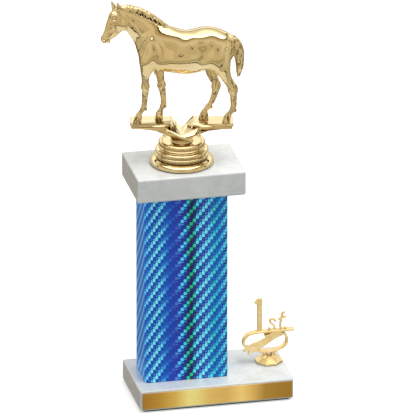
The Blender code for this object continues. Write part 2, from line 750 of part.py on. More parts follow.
def build_horse(figure_axis):
    """Two moulded half shells, split along the horse's middle and hollow through the barrel."""
    whole = horse_body()
    for vertex in whole.vertices:
        vertex.co = bend(vertex.co / MM) * MM
    first, last = SHELL_CORE_REACH
    core = mesh_from(lambda bm: add_chain(bm, smooth_path(TORSO[first:last], 1), SHELL_WALL + 1.0))
    for name, side in (("horse_left_shell", -1), ("horse_right_shell", 1)):
        half = add_piece(name, whole.copy(), "bright_gold", figure_axis, (0, 0, PLINTH_TOP))
        boolean(half, add_helper(f"{name}_side", horse_side(side), figure_axis, (0, 0, PLINTH_TOP)), "INTERSECT")
        cut(half, add_helper(f"{name}_core", core, figure_axis, (0, 0, PLINTH_TOP)))


# ---------------------------------------------------------------- the place trim
TRIM_DEPTH = 5.0
RIBBON_T = 1.7
FOOT_H = 4.6
FOOT_R = 10.2
FOOT_BORE_TOP = 3.8


def band(path, thickness):
    """The closed outline of a strip that follows a path in a plane."""
    left, right = [], []
    last = len(path) - 1
    for i, (x, z) in enumerate(path):
        ax, az = path[max(i - 1, 0)]
        bx, bz = path[min(i + 1, last)]
        length = math.hypot(bx - ax, bz - az)
        nx, nz = -(bz - az) / length, (bx - ax) / length
        left.append((x + nx * thickness / 2, z + nz * thickness / 2))
        right.append((x - nx * thickness / 2, z - nz * thickness / 2))
    return left + right[::-1]


def build_trim(trim_axis):
    """One casting: an eight-sided foot, an open neck, a folded ribbon, and the mark "1st" on its bar."""
    foot = post(FOOT_R, 0, 2.8, 8, turn=math.radians(22.5))
    trim = add_piece("trim_figure", foot, "satin_gold", trim_axis, (0, 0, GAP))
    crown = post(FOOT_R - 0.3, 2.6, FOOT_H, 8, top_radius=FOOT_R * 0.5, turn=math.radians(22.5))
    neck = [(-4.4, 3.6), (4.4, 3.6), (3.2, 5.4), (3.6, 8.0), (-3.6, 8.0), (-3.2, 5.4)]
    bar_path = smooth_path([(19.0, 24.2), (0, 24.2), (-12, 24.0), (-17.5, 22.6), (-20.3, 18.6), (-19.4, 14.2), (-15.5, 12.0)], 3)
    loop_path = smooth_path([(-2, 20.4), (4, 21.8), (9.5, 21.2), (13.4, 17.8), (13.4, 13.2), (9.4, 9.8), (2, 8.0), (-6, 8.4), (-12.5, 10.2)], 3)
    tail = [(-21.0, 12.4), (-15.6, 10.6), (-14.8, 7.0), (7.4, 19.6), (5.0, 22.4), (-2.0, 22.2)]
    stem_x, stem_half = -7.6, 1.9
    one = [
        (stem_x - stem_half, 24.4),
        (stem_x + stem_half, 24.4),
        (stem_x + stem_half, 52.6),
        (stem_x - stem_half + 0.9, 52.6),
        (stem_x - stem_half - 1.9, 49.8),
        (stem_x - stem_half - 1.0, 47.9),
        (stem_x - stem_half, 48.4),
    ]
    letter_s = smooth_path([(6.6, 33.4), (5.2, 35.4), (2.8, 34.6), (3.0, 31.6), (5.6, 28.8), (5.6, 26.2), (3.2, 25.2), (1.4, 27.2)], 3)
    letter_t = smooth_path([(12.6, 38.6), (11.0, 33.0), (9.8, 27.6), (10.6, 25.4), (13.0, 25.6)], 3)
    t_bar = [(8.6, 34.0), (13.8, 34.8)]
    shapes = {
        "crown": crown,
        "neck": side_plate([neck], 4.4),
        "bar": side_plate([band(bar_path, RIBBON_T)], TRIM_DEPTH),
        "loop": side_plate([band(loop_path, RIBBON_T)], TRIM_DEPTH),
        "tail": side_plate([tail], 1.6, -TRIM_DEPTH / 2 + 0.4),
        "one": side_plate([one], 2.4, -0.8),
        "letter_s": side_plate([band(letter_s, 1.6)], 2.0, -0.8),
        "letter_t": side_plate([band(letter_t, 1.6)], 2.0, -0.8),
        "letter_t_bar": side_plate([band(t_bar, 1.5)], 1.9, -0.8),
    }
    for name, mesh in shapes.items():
        fuse(trim, add_helper(f"trim_{name}", mesh, trim_axis, (0, 0, GAP)))
    eye = post(1.2, -10, 10, 12)
    eye.transform(Matrix.Translation((0, 0, 5.6 * MM)) @ UPRIGHT)
    cut(trim, add_helper("trim_neck_eye", eye, trim_axis, (0, 0, GAP)))
    cut(trim, add_helper("trim_foot_bore", post(SCREW_R + 0.3, -5, FOOT_BORE_TOP, 16), trim_axis))


# ---------------------------------------------------------------- assembly
def build_trophy():
    build_felt()
    build_base()
    build_nameplate()
    build_inserts(*build_column())
    build_cap()
    figure_axis = add_axis("figure_axis", AXIS_X, 0, FIGURE_Z, FIGURE_TWIST)
    build_figure_base(figure_axis)
    build_rod(figure_axis, NUT_POCKET_TOP - GAP - NUT_T)
    build_plinth(figure_axis)
    build_horse(figure_axis)
    trim_axis = add_axis("trim_axis", TRIM_X, TRIM_Y, BASE_TOP)
    build_trim(trim_axis)
    build_trim_screw(trim_axis, FOOT_BORE_TOP)


build_trophy()
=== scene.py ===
"""Looks of the column trophy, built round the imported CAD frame: metal figure, marble, film column and trim."""

import json
import math

import bpy
import numpy as np
from mathutils import Matrix, Vector


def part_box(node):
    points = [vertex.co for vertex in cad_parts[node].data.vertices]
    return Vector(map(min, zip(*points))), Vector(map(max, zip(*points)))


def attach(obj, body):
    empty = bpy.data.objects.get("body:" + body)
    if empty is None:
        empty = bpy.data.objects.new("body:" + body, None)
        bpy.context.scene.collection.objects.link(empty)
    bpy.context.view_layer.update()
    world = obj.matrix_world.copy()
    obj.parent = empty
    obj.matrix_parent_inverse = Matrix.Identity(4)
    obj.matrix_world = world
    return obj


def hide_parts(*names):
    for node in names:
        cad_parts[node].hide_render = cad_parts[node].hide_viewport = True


MM = 0.001
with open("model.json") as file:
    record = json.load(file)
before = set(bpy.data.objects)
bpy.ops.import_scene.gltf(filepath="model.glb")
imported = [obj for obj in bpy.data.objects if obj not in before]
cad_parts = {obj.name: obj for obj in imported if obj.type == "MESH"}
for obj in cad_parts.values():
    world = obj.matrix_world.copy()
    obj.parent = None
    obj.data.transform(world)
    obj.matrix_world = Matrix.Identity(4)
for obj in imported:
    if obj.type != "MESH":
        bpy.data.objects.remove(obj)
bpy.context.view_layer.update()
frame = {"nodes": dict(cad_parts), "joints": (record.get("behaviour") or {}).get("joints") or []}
NODES = frame["nodes"]
JOINTS = {j["name"]: j for j in frame["joints"]}

# The figure and the trim are laid out about their joints' axes, from the undersides of their feet.
# The figure stands turned about its axis, and the trim doesn't.
def axis_foot(joint, node):
    x, y, _ = JOINTS[joint]["pos_m"]
    return np.array([x, y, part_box(node)[0].z])


FIGURE_ORIGIN = axis_foot("figure_turn", "figure_base")
TRIM_ORIGIN = axis_foot("trim_turn", "trim_figure")
FIGURE_TWIST = math.radians(-12.5)
PLINTH_TOP = 33.5


# ---------------------------------------------------------------- signed distance shapes, in mm
class Field:
    """A smooth blend of simple solids; each knows its box, so only nearby points are measured."""

    def __init__(self):
        self.parts = []

    def add(self, measure, low, high, blend, carve=False):
        self.parts.append((measure, np.array(low, float), np.array(high, float), blend, carve))

    def apply(self, values, points, part):
        measure, _, _, blend, carve = part
        distance = measure(points)
        if carve:
            values, distance = -values, distance
        h = np.maximum(blend - np.abs(values - distance), 0.0) / blend
        values = np.minimum(values, distance) - h * h * blend * 0.25
        return -values if carve else values

    def at(self, points):
        values = np.full(len(points), 9.0)
        for part in self.parts:
            low, high, reach = part[1], part[2], part[3] + 1.0
            near = np.all((points > low - reach) & (points < high + reach), axis=1)
            if near.any():
                values[near] = self.apply(values[near], points[near], part)
        return values

    def on_grid(self, low, counts, step):
        """Values at grid corners; a part is only measured inside its own box."""
        values = np.full(counts, 9.0, np.float32)
        for part in self.parts:
            reach = part[3] + 1.5
            first = np.maximum(np.floor((part[1] - reach - low) / step).astype(int), 0)
            last = np.minimum(np.ceil((part[2] + reach - low) / step).astype(int) + 1, counts)
            if np.any(last <= first):
                continue
            axes = [low[i] + step * np.arange(first[i], last[i]) for i in range(3)]
            points = np.stack(np.meshgrid(*axes, indexing="ij"), axis=-1).reshape(-1, 3)
            window = tuple(slice(a, b) for a, b in zip(first, last))
            old = values[window]
            new = self.apply(old.reshape(-1).astype(float), points, part)
            values[window] = new.reshape(old.shape)
        return values


def ellipsoid(field, centre, radii, tilt=0.0, blend=2.0, carve=False, yaw=0.0):
    """centre and radii as (x, y, z); tilt turns it in the XZ plane, x towards z, and yaw in the XY plane."""
    centre = np.array(centre, float)
    radii = np.array(radii, float)
    ct, st = math.cos(math.radians(tilt)), math.sin(math.radians(tilt))
    cy, sy = math.cos(math.radians(yaw)), math.sin(math.radians(yaw))
    turn = np.array([[ct, 0, st], [0, 1, 0], [-st, 0, ct]]) @ np.array([[cy, sy, 0], [-sy, cy, 0], [0, 0, 1]])

    def measure(points):
        local = (points - centre) @ turn.T
        k0 = np.linalg.norm(local / radii, axis=1)
        k1 = np.linalg.norm(local / radii**2, axis=1)
        return k0 * (k0 - 1.0) / np.maximum(k1, 1e-6)

    reach = np.sqrt(((turn * radii[:, None]) ** 2).sum(axis=0))
    field.add(measure, centre - reach, centre + reach, blend, carve)


def smooth_path(points, steps):
    """Catmull-Rom through rows of numbers."""
    p = np.array(points, float)
    p = np.vstack([2 * p[0] - p[1], p, 2 * p[-1] - p[-2]])
    out = []
    for a, b, c, d in zip(p, p[1:], p[2:], p[3:]):
        for t in np.arange(steps) / steps:
            out.append(0.5 * (2 * b + (c - a) * t + (2 * a - 5 * b + 4 * c - d) * t * t + (3 * b - a - 3 * c + d) * t**3))
    out.append(p[-2])
    return np.array(out)


def chain(field, stations, blend=2.0, steps=5, carve=False, power=2.0):
    """A tube through stations (x, z, y, half depth across, half width along y); a higher power squares it."""
    path = smooth_path(stations, steps)
    centres = path[:, [0, 2, 1]]
    sizes = path[:, 3:5]
    along = np.gradient(centres, axis=0)
    along[:, 1] = 0
    along /= np.linalg.norm(along, axis=1)[:, None]

    def measure(points):
        best = np.full(len(points), 99.0)
        for i in range(len(centres) - 1):
            a, b = centres[i], centres[i + 1]
            ab = b - a
            reach = sizes[i : i + 2].max() + 3.0
            near = np.all((points > np.minimum(a, b) - reach) & (points < np.maximum(a, b) + reach), axis=1)
            if not near.any():
                continue
            p = points[near]
            t = np.clip(((p - a) @ ab) / (ab @ ab), 0.0, 1.0)
            offset = p - (a + t[:, None] * ab)
            depth = sizes[i, 0] + t * (sizes[i + 1, 0] - sizes[i, 0])
            width = sizes[i, 1] + t * (sizes[i + 1, 1] - sizes[i, 1])
            mid = along[i] + t[:, None] * (along[i + 1] - along[i])
            mid /= np.linalg.norm(mid, axis=1)[:, None]
            w = (offset * mid).sum(axis=1)
            u = offset[:, 2] * mid[:, 0] - offset[:, 0] * mid[:, 2]
            v = offset[:, 1]
            sizes_here = np.stack([depth, width, np.minimum(depth, width)], axis=1)
            share = np.abs(np.stack([u, v, w], axis=1)) / sizes_here
            k0 = np.maximum((share**power).sum(axis=1) ** (1.0 / power), 1e-6)
            slope = np.linalg.norm(share ** (power - 1.0) / sizes_here, axis=1) * k0 ** (1.0 - power)
            best[near] = np.minimum(best[near], (k0 - 1.0) / np.maximum(slope, 1e-6))
        return best

    reach = sizes.max(axis=1)[:, None]
    field.add(measure, (centres - reach).min(axis=0), (centres + reach).max(axis=0), blend, carve)


def skin(field, low, high, step, settle=3):
    """Surface nets over the field: one quad round every grid edge that crosses it, then pulled onto it."""
    low, high = np.array(low, float), np.array(high, float)
    counts = np.ceil((high - low) / step).astype(int) + 1
    values = field.on_grid(low, counts, step)
    inside = values < 0
    total = np.zeros((*counts, 3), np.float32)
    hits = np.zeros(counts, np.uint8)
    crossings = []
    for axis in range(3):
        a = [slice(None)] * 3
        b = [slice(None)] * 3
        a[axis], b[axis] = slice(None, -1), slice(1, None)
        crossed = inside[tuple(a)] != inside[tuple(b)]
        at = np.argwhere(crossed)
        va = values[tuple(a)][crossed]
        vb = values[tuple(b)][crossed]
        point = at.astype(np.float32)
        point[:, axis] += va / (va - vb)
        others = [i for i in range(3) if i != axis]
        for da in (0, 1):
            for db in (0, 1):
                cell = at.copy()
                cell[:, others[0]] -= da
                cell[:, others[1]] -= db
                np.add.at(total, tuple(cell.T), point)
                np.add.at(hits, tuple(cell.T), 1)
        crossings.append((axis, at, va < 0))
    cells = hits > 0
    number = np.full(counts, -1, np.int64)
    number[cells] = np.arange(cells.sum())
    points = total[cells] / hits[cells][:, None] * step + low
    quads = []
    for axis, at, first_inside in crossings:
        i, j = [(1, 2), (2, 0), (0, 1)][axis]
        corners = []
        for di, dj in ((0, 0), (1, 0), (1, 1), (0, 1)):
            cell = at.copy()
            cell[:, i] -= di
            cell[:, j] -= dj
            corners.append(number[tuple(cell.T)])
        quad = np.stack(corners, axis=1)
        quad[~first_inside] = quad[~first_inside][:, ::-1]
        quads.append(quad)
    quads = np.vstack(quads)
    points = points.astype(float)
    for _ in range(settle):
        points -= np.clip(field.at(points), -step, step)[:, None] * unit(gradient(field, points))
    return points, quads


def gradient(field, points, eps=0.08):
    out = np.empty_like(points)
    for axis in range(3):
        shift = np.zeros(3)
        shift[axis] = eps
        out[:, axis] = field.at(points + shift) - field.at(points - shift)
    return out


def relax(points, quads, share, rounds=80):
    """Evens out ripples where share is 1, and leaves points where it is 0."""
    pairs = np.vstack([quads[:, [0, 1]], quads[:, [1, 2]], quads[:, [2, 3]], quads[:, [3, 0]]])
    pairs = np.vstack([pairs, pairs[:, ::-1]])
    degree = np.bincount(pairs[:, 0], minlength=len(points))[:, None]
    for _ in range(rounds):
        near = np.stack([np.bincount(pairs[:, 0], points[pairs[:, 1], k], len(points)) for k in range(3)], axis=1)
        points = points + (near / degree - points) * (0.5 * share)[:, None]
    return points


def unit(vectors):
    return vectors / np.maximum(np.linalg.norm(vectors, axis=1), 1e-9)[:, None]


# ---------------------------------------------------------------- the horse, nose towards -X, hooves on z = 0
def horse_trunk(f):
    """Barrel, croup, chest and neck with their large muscles."""
    chain(f, [
        (-27.6, 53.5, 0, 5.2, 4.6), (-24, 55.3, 0, 12.6, 7.6), (-18, 57.2, 0, 15.6, 9.4),
        (-10, 57.2, 0, 17.2, 10.2), (-2, 55.1, 0, 16.4, 10.8), (5, 54.8, 0, 16.4, 11.0),
        (12, 56.6, 0, 16.2, 10.6), (19, 58.8, 0, 15.2, 10.3), (25, 58.4, 0, 14.2, 9.8),
        (30, 56.6, 0, 12.2, 8.4), (33.6, 54.8, 0, 7.4, 5.6), (35.0, 54.2, 0, 3.0, 3.0),
    ], 2.0, power=2.7)
    chain(f, [
        (-17, 60, 0, 14.2, 8.6), (-24.5, 68.6, 0, 12.6, 6.6), (-30, 74.2, 0, 10.8, 5.4),
        (-34.5, 78.2, 0, 9.4, 4.7), (-38.8, 81.8, 0, 7.8, 4.2), (-43.0, 84.4, 0, 6.2, 3.8),
    ], 3.0)
    ellipsoid(f, (-13, 0, 69.5), (10, 4.4, 5.6), -30, 4.0)  # withers
    ellipsoid(f, (2, 0, 64.7), (13, 5.5, 5.0), 3, 4.0)  # loin
    ellipsoid(f, (18, 0, 67.0), (11, 6.5, 6.0), 4, 4.0)  # croup
    for side in (-1, 1):
        s = side
        ellipsoid(f, (-20.5, s * 5.4, 58), (6.6, 4.8, 14.0), 20, 2.6)  # shoulder blade
        ellipsoid(f, (-26.3, s * 4.2, 51.5), (5.0, 4.6, 7.5), -8, 1.8)  # point of the shoulder
        ellipsoid(f, (-17.8, s * 6.4, 49.5), (4.6, 3.8, 7.5), 30, 1.8)  # upper arm
        ellipsoid(f, (-22.6, s * 5.0, 62.5), (3.0, 2.6, 9.0), 34, 1.2)  # front of the blade
        ellipsoid(f, (-2, s * 7.6, 52.5), (13.5, 4.4, 8.6), 4, 3.0)  # ribs
        ellipsoid(f, (28.5, s * 5.4, 57.5), (7.4, 5.2, 11.5), -8, 2.6)  # haunch
        ellipsoid(f, (21.5, s * 6.2, 51.0), (6.0, 4.2, 9.0), 28, 2.0)  # thigh
        ellipsoid(f, (13.6, s * 7.4, 66.3), (5.0, 2.4, 3.6), -20, 4.0)  # point of the hip
        ellipsoid(f, (17.2, s * 8.0, 48.2), (3.6, 2.4, 4.4), -40, 2.0)  # stifle
        ellipsoid(f, (-30.5, s * 3.4, 71.5), (3.2, 2.0, 9.5), 40, 2.0)  # side of the neck
    ellipsoid(f, (-29.6, -2.6, 50.5), (2.2, 2.4, 5.0), 0, 1.2)
    ellipsoid(f, (-29.6, 2.6, 50.5), (2.2, 2.4, 5.0), 0, 1.2)


def horse_grooves(f):
    """Shallow valleys between the muscles."""
    for s in (-1, 1):
        chain(f, [(-22.6, 72, s * 8.6, 0.9, 1.3), (-17.0, 66, s * 10.8, 1.0, 1.6), (-13.4, 58.5, s * 12.4, 1.0, 1.7),
                  (-12.6, 51, s * 12.2, 1.0, 1.5)], 2.2, 3, True)  # behind the shoulder
        chain(f, [(-36.0, 76, s * 6.0, 0.7, 1.0), (-32.8, 68, s * 6.6, 0.8, 1.2), (-30.2, 60.5, s * 7.2, 0.8, 1.2)], 1.6, 3, True)
        chain(f, [(-30.6, 57, s * 6.2, 0.7, 1.0), (-27.6, 64.5, s * 8.0, 0.8, 1.2), (-22.4, 71.5, s * 8.0, 0.8, 1.2)], 1.6, 3, True)
        chain(f, [(19.0, 62, s * 12.4, 1.0, 1.3), (17.6, 56, s * 12.8, 1.2, 1.6), (15.4, 52.5, s * 12.4, 1.0, 1.4)], 2.4, 3, True)
        chain(f, [(30.0, 46, s * 11.4, 0.8, 1.2), (32.6, 53, s * 11.6, 0.9, 1.4), (33.6, 60, s * 10.0, 0.8, 1.2)], 1.8, 3, True)
        chain(f, [(13.6, 43.2, s * 11.4, 1.0, 1.4), (19.4, 46.4, s * 12.4, 1.2, 1.6), (22.6, 42.6, s * 11.6, 1.0, 1.4)], 1.8, 3, True)
        chain(f, [(-24, 42.6, s * 10.2, 0.8, 1.1), (-19.4, 45.0, s * 11.6, 1.0, 1.4), (-15.6, 42.0, s * 10.8, 0.8, 1.2)], 1.4, 3, True)


def horse_head(f):
    chain(f, [
        (-44.2, 85.2, 0, 6.4, 4.0), (-47.4, 80.6, 0, 7.6, 4.1), (-49.9, 76.4, 0, 6.9, 3.5),
        (-52.3, 72.5, 0, 5.5, 2.9), (-54.8, 69.4, 0, 4.2, 2.5), (-56.8, 66.6, 0, 3.2, 2.5),
        (-57.6, 65.4, 0, 2.3, 2.1),
    ], 1.5, power=2.3)
    ellipsoid(f, (-58.3, 0, 66.7), (1.8, 2.6, 2.7), 30, 1.0)  # nose
    ellipsoid(f, (-55.0, 0, 64.6), (1.9, 1.8, 1.2), -25, 0.8)  # chin and lower lip
    ellipsoid(f, (-50.6, 0, 84.8), (3.4, 3.3, 3.6), 30, 1.5)  # forehead
    ellipsoid(f, (-45.2, 0, 90.0), (2.6, 2.4, 2.4), 0, 1.5)  # poll
    for s in (-1, 1):
        ellipsoid(f, (-44.2, s * 2.5, 78.4), (4.5, 2.2, 5.4), 25, 1.0)  # jowl
        ellipsoid(f, (-50.5, s * 3.0, 84.8), (2.9, 1.6, 2.4), 30, 0.8)  # eye socket
        ellipsoid(f, (-51.4, s * 2.8, 77.2), (0.9, 0.9, 4.8), 30, 0.6)  # cheek crest
        ellipsoid(f, (-57.8, s * 1.9, 66.6), (1.4, 0.9, 1.9), 30, 0.5)  # flared nostril
        chain(f, [(-47.8, 72.6, s * 3.2, 0.8, 0.9), (-51.0, 73.6, s * 3.5, 0.8, 0.9), (-54.6, 72.8, s * 3.0, 0.6, 0.7)], 0.7, 3, True)
        chain(f, [(-40.9, 85.2, s * 4.8, 0.8, 1.1), (-39.4, 79.0, s * 5.0, 0.9, 1.2), (-40.6, 73.6, s * 4.2, 0.8, 1.1)], 0.8, 3, True)
        ellipsoid(f, (-58.7, s * 2.7, 67.4), (0.95, 0.9, 1.45), 40, 0.25, True)  # nostril
        chain(f, [(-59.2, 64.9, s * 1.0, 0.4, 1.3), (-56.8, 65.9, s * 2.1, 0.42, 1.0), (-54.2, 67.4, s * 2.7, 0.4, 0.8)], 0.2, 3, True)


def horse_eyes(f):
    for s in (-1, 1):
        ellipsoid(f, (-50.8, s * 4.5, 84.4), (2.5, 1.3, 1.9), 25, 0.3, True)
        ellipsoid(f, (-50.8, s * 3.3, 84.4), (1.5, 1.15, 1.2), 25, 0.1)
        chain(f, [(-53.4, 83.6, s * 3.6, 0.4, 0.6), (-51.8, 86.5, s * 4.0, 0.48, 0.65), (-48.6, 86.4, s * 4.0, 0.4, 0.6)], 0.25, 4)
        chain(f, [(-53.0, 82.8, s * 3.7, 0.35, 0.5), (-50.6, 82.1, s * 3.9, 0.4, 0.55), (-48.6, 83.4, s * 4.0, 0.35, 0.5)], 0.25, 4)


def horse_ears(f):
    """The near ear points back a little and the far one forward, each cupped at the front."""
    for s, base, tip in ((-1, (-47.0, 88.6, -2.3), (-48.4, 96.4, -3.0)), (1, (-49.6, 87.6, 2.2), (-51.7, 95.0, 2.9))):
        middle = tuple(a + (b - a) * 0.5 for a, b in zip(base, tip))
        chain(f, [(*base, 1.6, 1.4), (middle[0] + 0.2, middle[1], middle[2], 1.75, 1.15), (*tip, 0.3, 0.3)], 0.7, 5)
        chain(f, [(base[0] - 1.5, base[1] + 1.8, base[2] + s * 0.5, 0.7, 0.7),
                  (middle[0] - 1.3, middle[1] + 0.6, middle[2] + s * 0.5, 0.8, 0.7),
                  (tip[0] - 0.8, tip[1] - 1.6, tip[2] + s * 0.2, 0.25, 0.25)], 0.25, 4, True)


def leg(f, stations, knobs, tendon):
    chain(f, stations, 2.0)
    for x, z, y, rx, ry, rz in knobs:
        ellipsoid(f, (x, y, z), (rx, ry, rz), 0, 0.9)
    chain(f, tendon, 0.5, 4)


def horse_legs(f):
    leg(f, [
        (-20.5, 58, -5.6, 7.0, 4.4), (-25.4, 51, -6.2, 5.6, 4.6), (-26.2, 45.5, -6.0, 4.9, 4.0),
        (-26.7, 40.5, -5.8, 3.9, 3.3), (-27.1, 35.8, -5.6, 2.9, 2.6), (-27.1, 31.6, -5.4, 2.7, 2.3),
        (-27.1, 28.6, -5.3, 2.9, 2.4), (-27.4, 25.0, -5.2, 2.2, 2.0), (-28.0, 19.5, -5.1, 1.6, 1.5),
        (-28.4, 14.0, -5.0, 1.6, 1.5), (-28.6, 11.6, -5.0, 1.9, 1.8), (-30.4, 8.6, -4.9, 1.7, 1.7),
        (-31.8, 6.2, -4.9, 2.2, 2.1),
    ], [(-27.2, 29.0, -5.4, 3.1, 2.7, 2.9), (-25.2, 30.2, -5.3, 1.3, 1.5, 1.8), (-28.4, 11.4, -5.0, 2.1, 2.2, 1.9),
        (-26.6, 10.9, -5.0, 0.9, 1.1, 1.2), (-24.4, 45.0, -6.6, 3.4, 3.2, 6.0)],
        [(-25.0, 26.5, -5.2, 0.8, 1.2), (-26.0, 20.0, -5.1, 0.75, 1.1), (-26.6, 13.5, -5.0, 0.8, 1.1)])
    leg(f, [
        (-19.0, 50, 5.4, 6.0, 4.0), (-17.9, 41, 5.0, 5.0, 3.6), (-16.1, 34, 4.3, 3.2, 2.7),
        (-15.4, 29.5, 3.8, 2.7, 2.3), (-15.1, 26.3, 3.5, 2.9, 2.4), (-14.8, 22.5, 3.1, 2.1, 2.0),
        (-14.3, 18.0, 2.7, 1.6, 1.5), (-14.0, 13.6, 2.3, 1.6, 1.5), (-13.8, 11.0, 2.1, 1.9, 1.8),
        (-15.3, 8.2, 1.8, 1.7, 1.7), (-16.3, 5.8, 1.6, 2.2, 2.1),
    ], [(-15.2, 26.6, 3.5, 3.1, 2.7, 2.8), (-13.2, 27.6, 3.5, 1.2, 1.5, 1.8), (-13.9, 10.8, 2.0, 2.1, 2.2, 1.9),
        (-12.2, 10.4, 2.0, 0.9, 1.1, 1.1)],
        [(-12.8, 24.0, 3.2, 0.8, 1.1), (-12.3, 18.0, 2.7, 0.75, 1.0), (-12.1, 12.5, 2.2, 0.8, 1.0)])
    leg(f, [
        (25.5, 60, -4.6, 9.4, 5.6), (27.2, 53, -5.6, 9.2, 5.6), (29.0, 47, -6.2, 7.6, 5.0),
        (31.3, 41, -6.2, 5.0, 3.9), (33.3, 36, -5.9, 3.8, 2.9), (35.5, 31.4, -5.6, 2.8, 2.3),
        (37.4, 27.6, -5.4, 3.0, 2.3), (38.0, 23.4, -5.3, 2.4, 2.0), (38.0, 18.0, -5.2, 1.8, 1.6),
        (38.1, 13.6, -5.2, 1.8, 1.6), (38.0, 10.8, -5.1, 2.1, 1.9), (36.1, 8.0, -5.0, 1.8, 1.7),
        (34.4, 5.8, -5.0, 2.3, 2.1),
    ], [(37.4, 26.4, -5.4, 3.3, 2.6, 3.4), (40.4, 27.4, -5.4, 1.3, 1.2, 2.4), (38.1, 10.6, -5.1, 2.2, 2.2, 1.9),
        (40.0, 9.8, -5.1, 0.9, 1.1, 1.2)],
        [(36.4, 36.6, -5.8, 0.7, 0.9), (38.6, 32.2, -5.6, 0.8, 0.9), (40.7, 28.0, -5.4, 1.0, 1.0), (40.2, 20.0, -5.2, 0.8, 1.0), (39.9, 13.0, -5.2, 0.85, 1.0)])
    leg(f, [
        (24.5, 54, 5.0, 8.6, 5.0), (23.0, 45, 5.6, 6.6, 4.6), (22.1, 38.5, 5.2, 5.0, 3.6),
        (23.2, 33, 4.5, 3.6, 2.7), (25.0, 28.8, 3.9, 2.8, 2.3), (25.3, 25.4, 3.4, 2.9, 2.3),
        (24.5, 21.8, 3.0, 2.2, 1.9), (23.0, 17.0, 2.6, 1.7, 1.6), (21.5, 13.2, 2.2, 1.7, 1.6),
        (20.0, 10.4, 1.9, 2.1, 1.9), (17.8, 7.8, 1.7, 1.8, 1.7), (16.6, 5.8, 1.6, 2.3, 2.1),
    ], [(25.2, 25.6, 3.5, 3.2, 2.6, 3.2), (27.8, 27.0, 3.6, 1.2, 1.2, 2.2), (20.2, 10.4, 1.9, 2.2, 2.2, 1.9),
        (22.0, 9.8, 1.9, 0.9, 1.1, 1.1)],
        [(25.4, 35.0, 4.8, 0.7, 0.9), (26.9, 31.0, 4.2, 0.7, 0.9), (28.1, 26.6, 3.6, 0.9, 1.0), (25.8, 19.0, 2.8, 0.8, 1.0), (23.2, 13.0, 2.2, 0.8, 1.0)])


HOOVES = [(-30.0, -36.6, -32.2, -4.9), (-14.0, -20.2, -16.6, 1.6), (36.0, 29.8, 34.0, -5.0), (19.8, 12.4, 16.6, 1.6)]


def hoof_measure(heel, toe, top_x, y):
    middle, half = (heel + toe) / 2, abs(heel - toe) / 2

    def measure(points):
        share = np.clip(points[:, 2] / 5.4, 0.0, 1.0)
        centre = middle + (top_x - middle) * share
        depth = half * (1.0 - 0.22 * share)
        width = 2.75 - 0.35 * share
        u = (points[:, 0] - centre) / depth
        v = (points[:, 1] - y) / width
        around = (np.sqrt(u * u + v * v) - 1.0) * width
        return np.maximum(around, np.maximum(-0.6 - points[:, 2], points[:, 2] - 4.6))

    return measure, (min(heel, toe) - 0.5, y - 3, -0.7), (max(heel, toe) + 0.5, y + 3, 5.2)


def horse_hooves(f):
    for heel, toe, top_x, y in HOOVES:
        measure, low, high = hoof_measure(heel, toe, top_x, y)
        f.add(measure, low, high, 0.5)
        ellipsoid(f, (top_x - 0.1, y, 5.0), (2.6, 2.35, 1.0), 0, 1.0)  # coronet


def horse_mane(f):
    """Short locks that fall to the near side, each lying over the next along the crest."""
    crest = smooth_path([(-45.5, 91.2), (-41, 92.4), (-36, 91.6), (-30, 89.6), (-24, 86.6), (-18, 82.2), (-12.5, 77.8), (-7, 74.2)], 1)
    for n, t in enumerate(np.linspace(0, len(crest) - 1, 34)):
        x = np.interp(t, np.arange(len(crest)), crest[:, 0])
        z = np.interp(t, np.arange(len(crest)), crest[:, 1])
        wave = math.sin(n * 2.4)
        fall = 1.9 + 0.9 * math.sin(n * 1.7) + (1.0 if n < 20 else 0.0)
        thick = 0.8 + 0.12 * wave
        chain(f, [(x - 0.6, z - 1.2, 0.6, 0.9, 0.8), (x, z - 0.5 + 0.15 * wave, -0.2, thick, 0.9),
                  (x + 0.9, z - 1.7, -1.9 - 0.12 * wave, 0.72, 0.6),
                  (x + 1.7 + 0.5 * wave, z - 1.6 - fall, -2.9 - 0.05 * fall, 0.34, 0.4)], 0.75, 3)
        chain(f, [(x, z - 0.5, 0.2, 0.8, 0.8), (x + 0.8, z - 1.8, 1.8, 0.65, 0.6),
                  (x + 1.4, z - 1.2 - 0.8 * fall, 2.7, 0.3, 0.4)], 0.75, 3)
    for n, (x, z, y) in enumerate([(-48.0, 89.2, -1.0), (-48.8, 88.4, 0.0), (-48.2, 89.0, 1.0)]):
        chain(f, [(x + 2.0, z + 1.4, y * 0.6, 0.9, 0.7), (x - 0.6, z - 0.2, y, 0.7, 0.6), (x - 3.4, z - 4.4, y * 1.1, 0.3, 0.35)], 0.4, 4)


def horse_tail(f):
    spine = [(30.5, 68.2, 0), (35.0, 67.0, 0), (39.6, 63.2, 0), (41.8, 56.5, -0.2), (43.0, 49.0, -0.4), (42.9, 42.0, -0.5), (42.2, 36.0, -0.5)]
    sizes = [(2.0, 2.2), (2.6, 2.6), (3.4, 3.2), (3.9, 3.4), (3.0, 2.9), (2.3, 2.2), (0.9, 1.0)]
    chain(f, [(*p, *s) for p, s in zip(spine, sizes)], 1.2)
    path = smooth_path([(*p, *s) for p, s in zip(spine, sizes)], 3)
    for n in range(13):
        start = 2.0 * math.pi * n / 13
        strand = []
        for i, (x, z, y, depth, width) in enumerate(path[3:]):
            turn = start + 0.45 * math.sin(i * 0.8 + 2.0 * n) + 0.1 * i
            thick = 0.36 + 0.12 * depth
            strand.append((x + depth * 0.9 * math.cos(turn), z + 0.2 * math.cos(turn), y + width * 0.9 * math.sin(turn),
                           thick, thick))
        chain(f, strand, 0.2, 1)


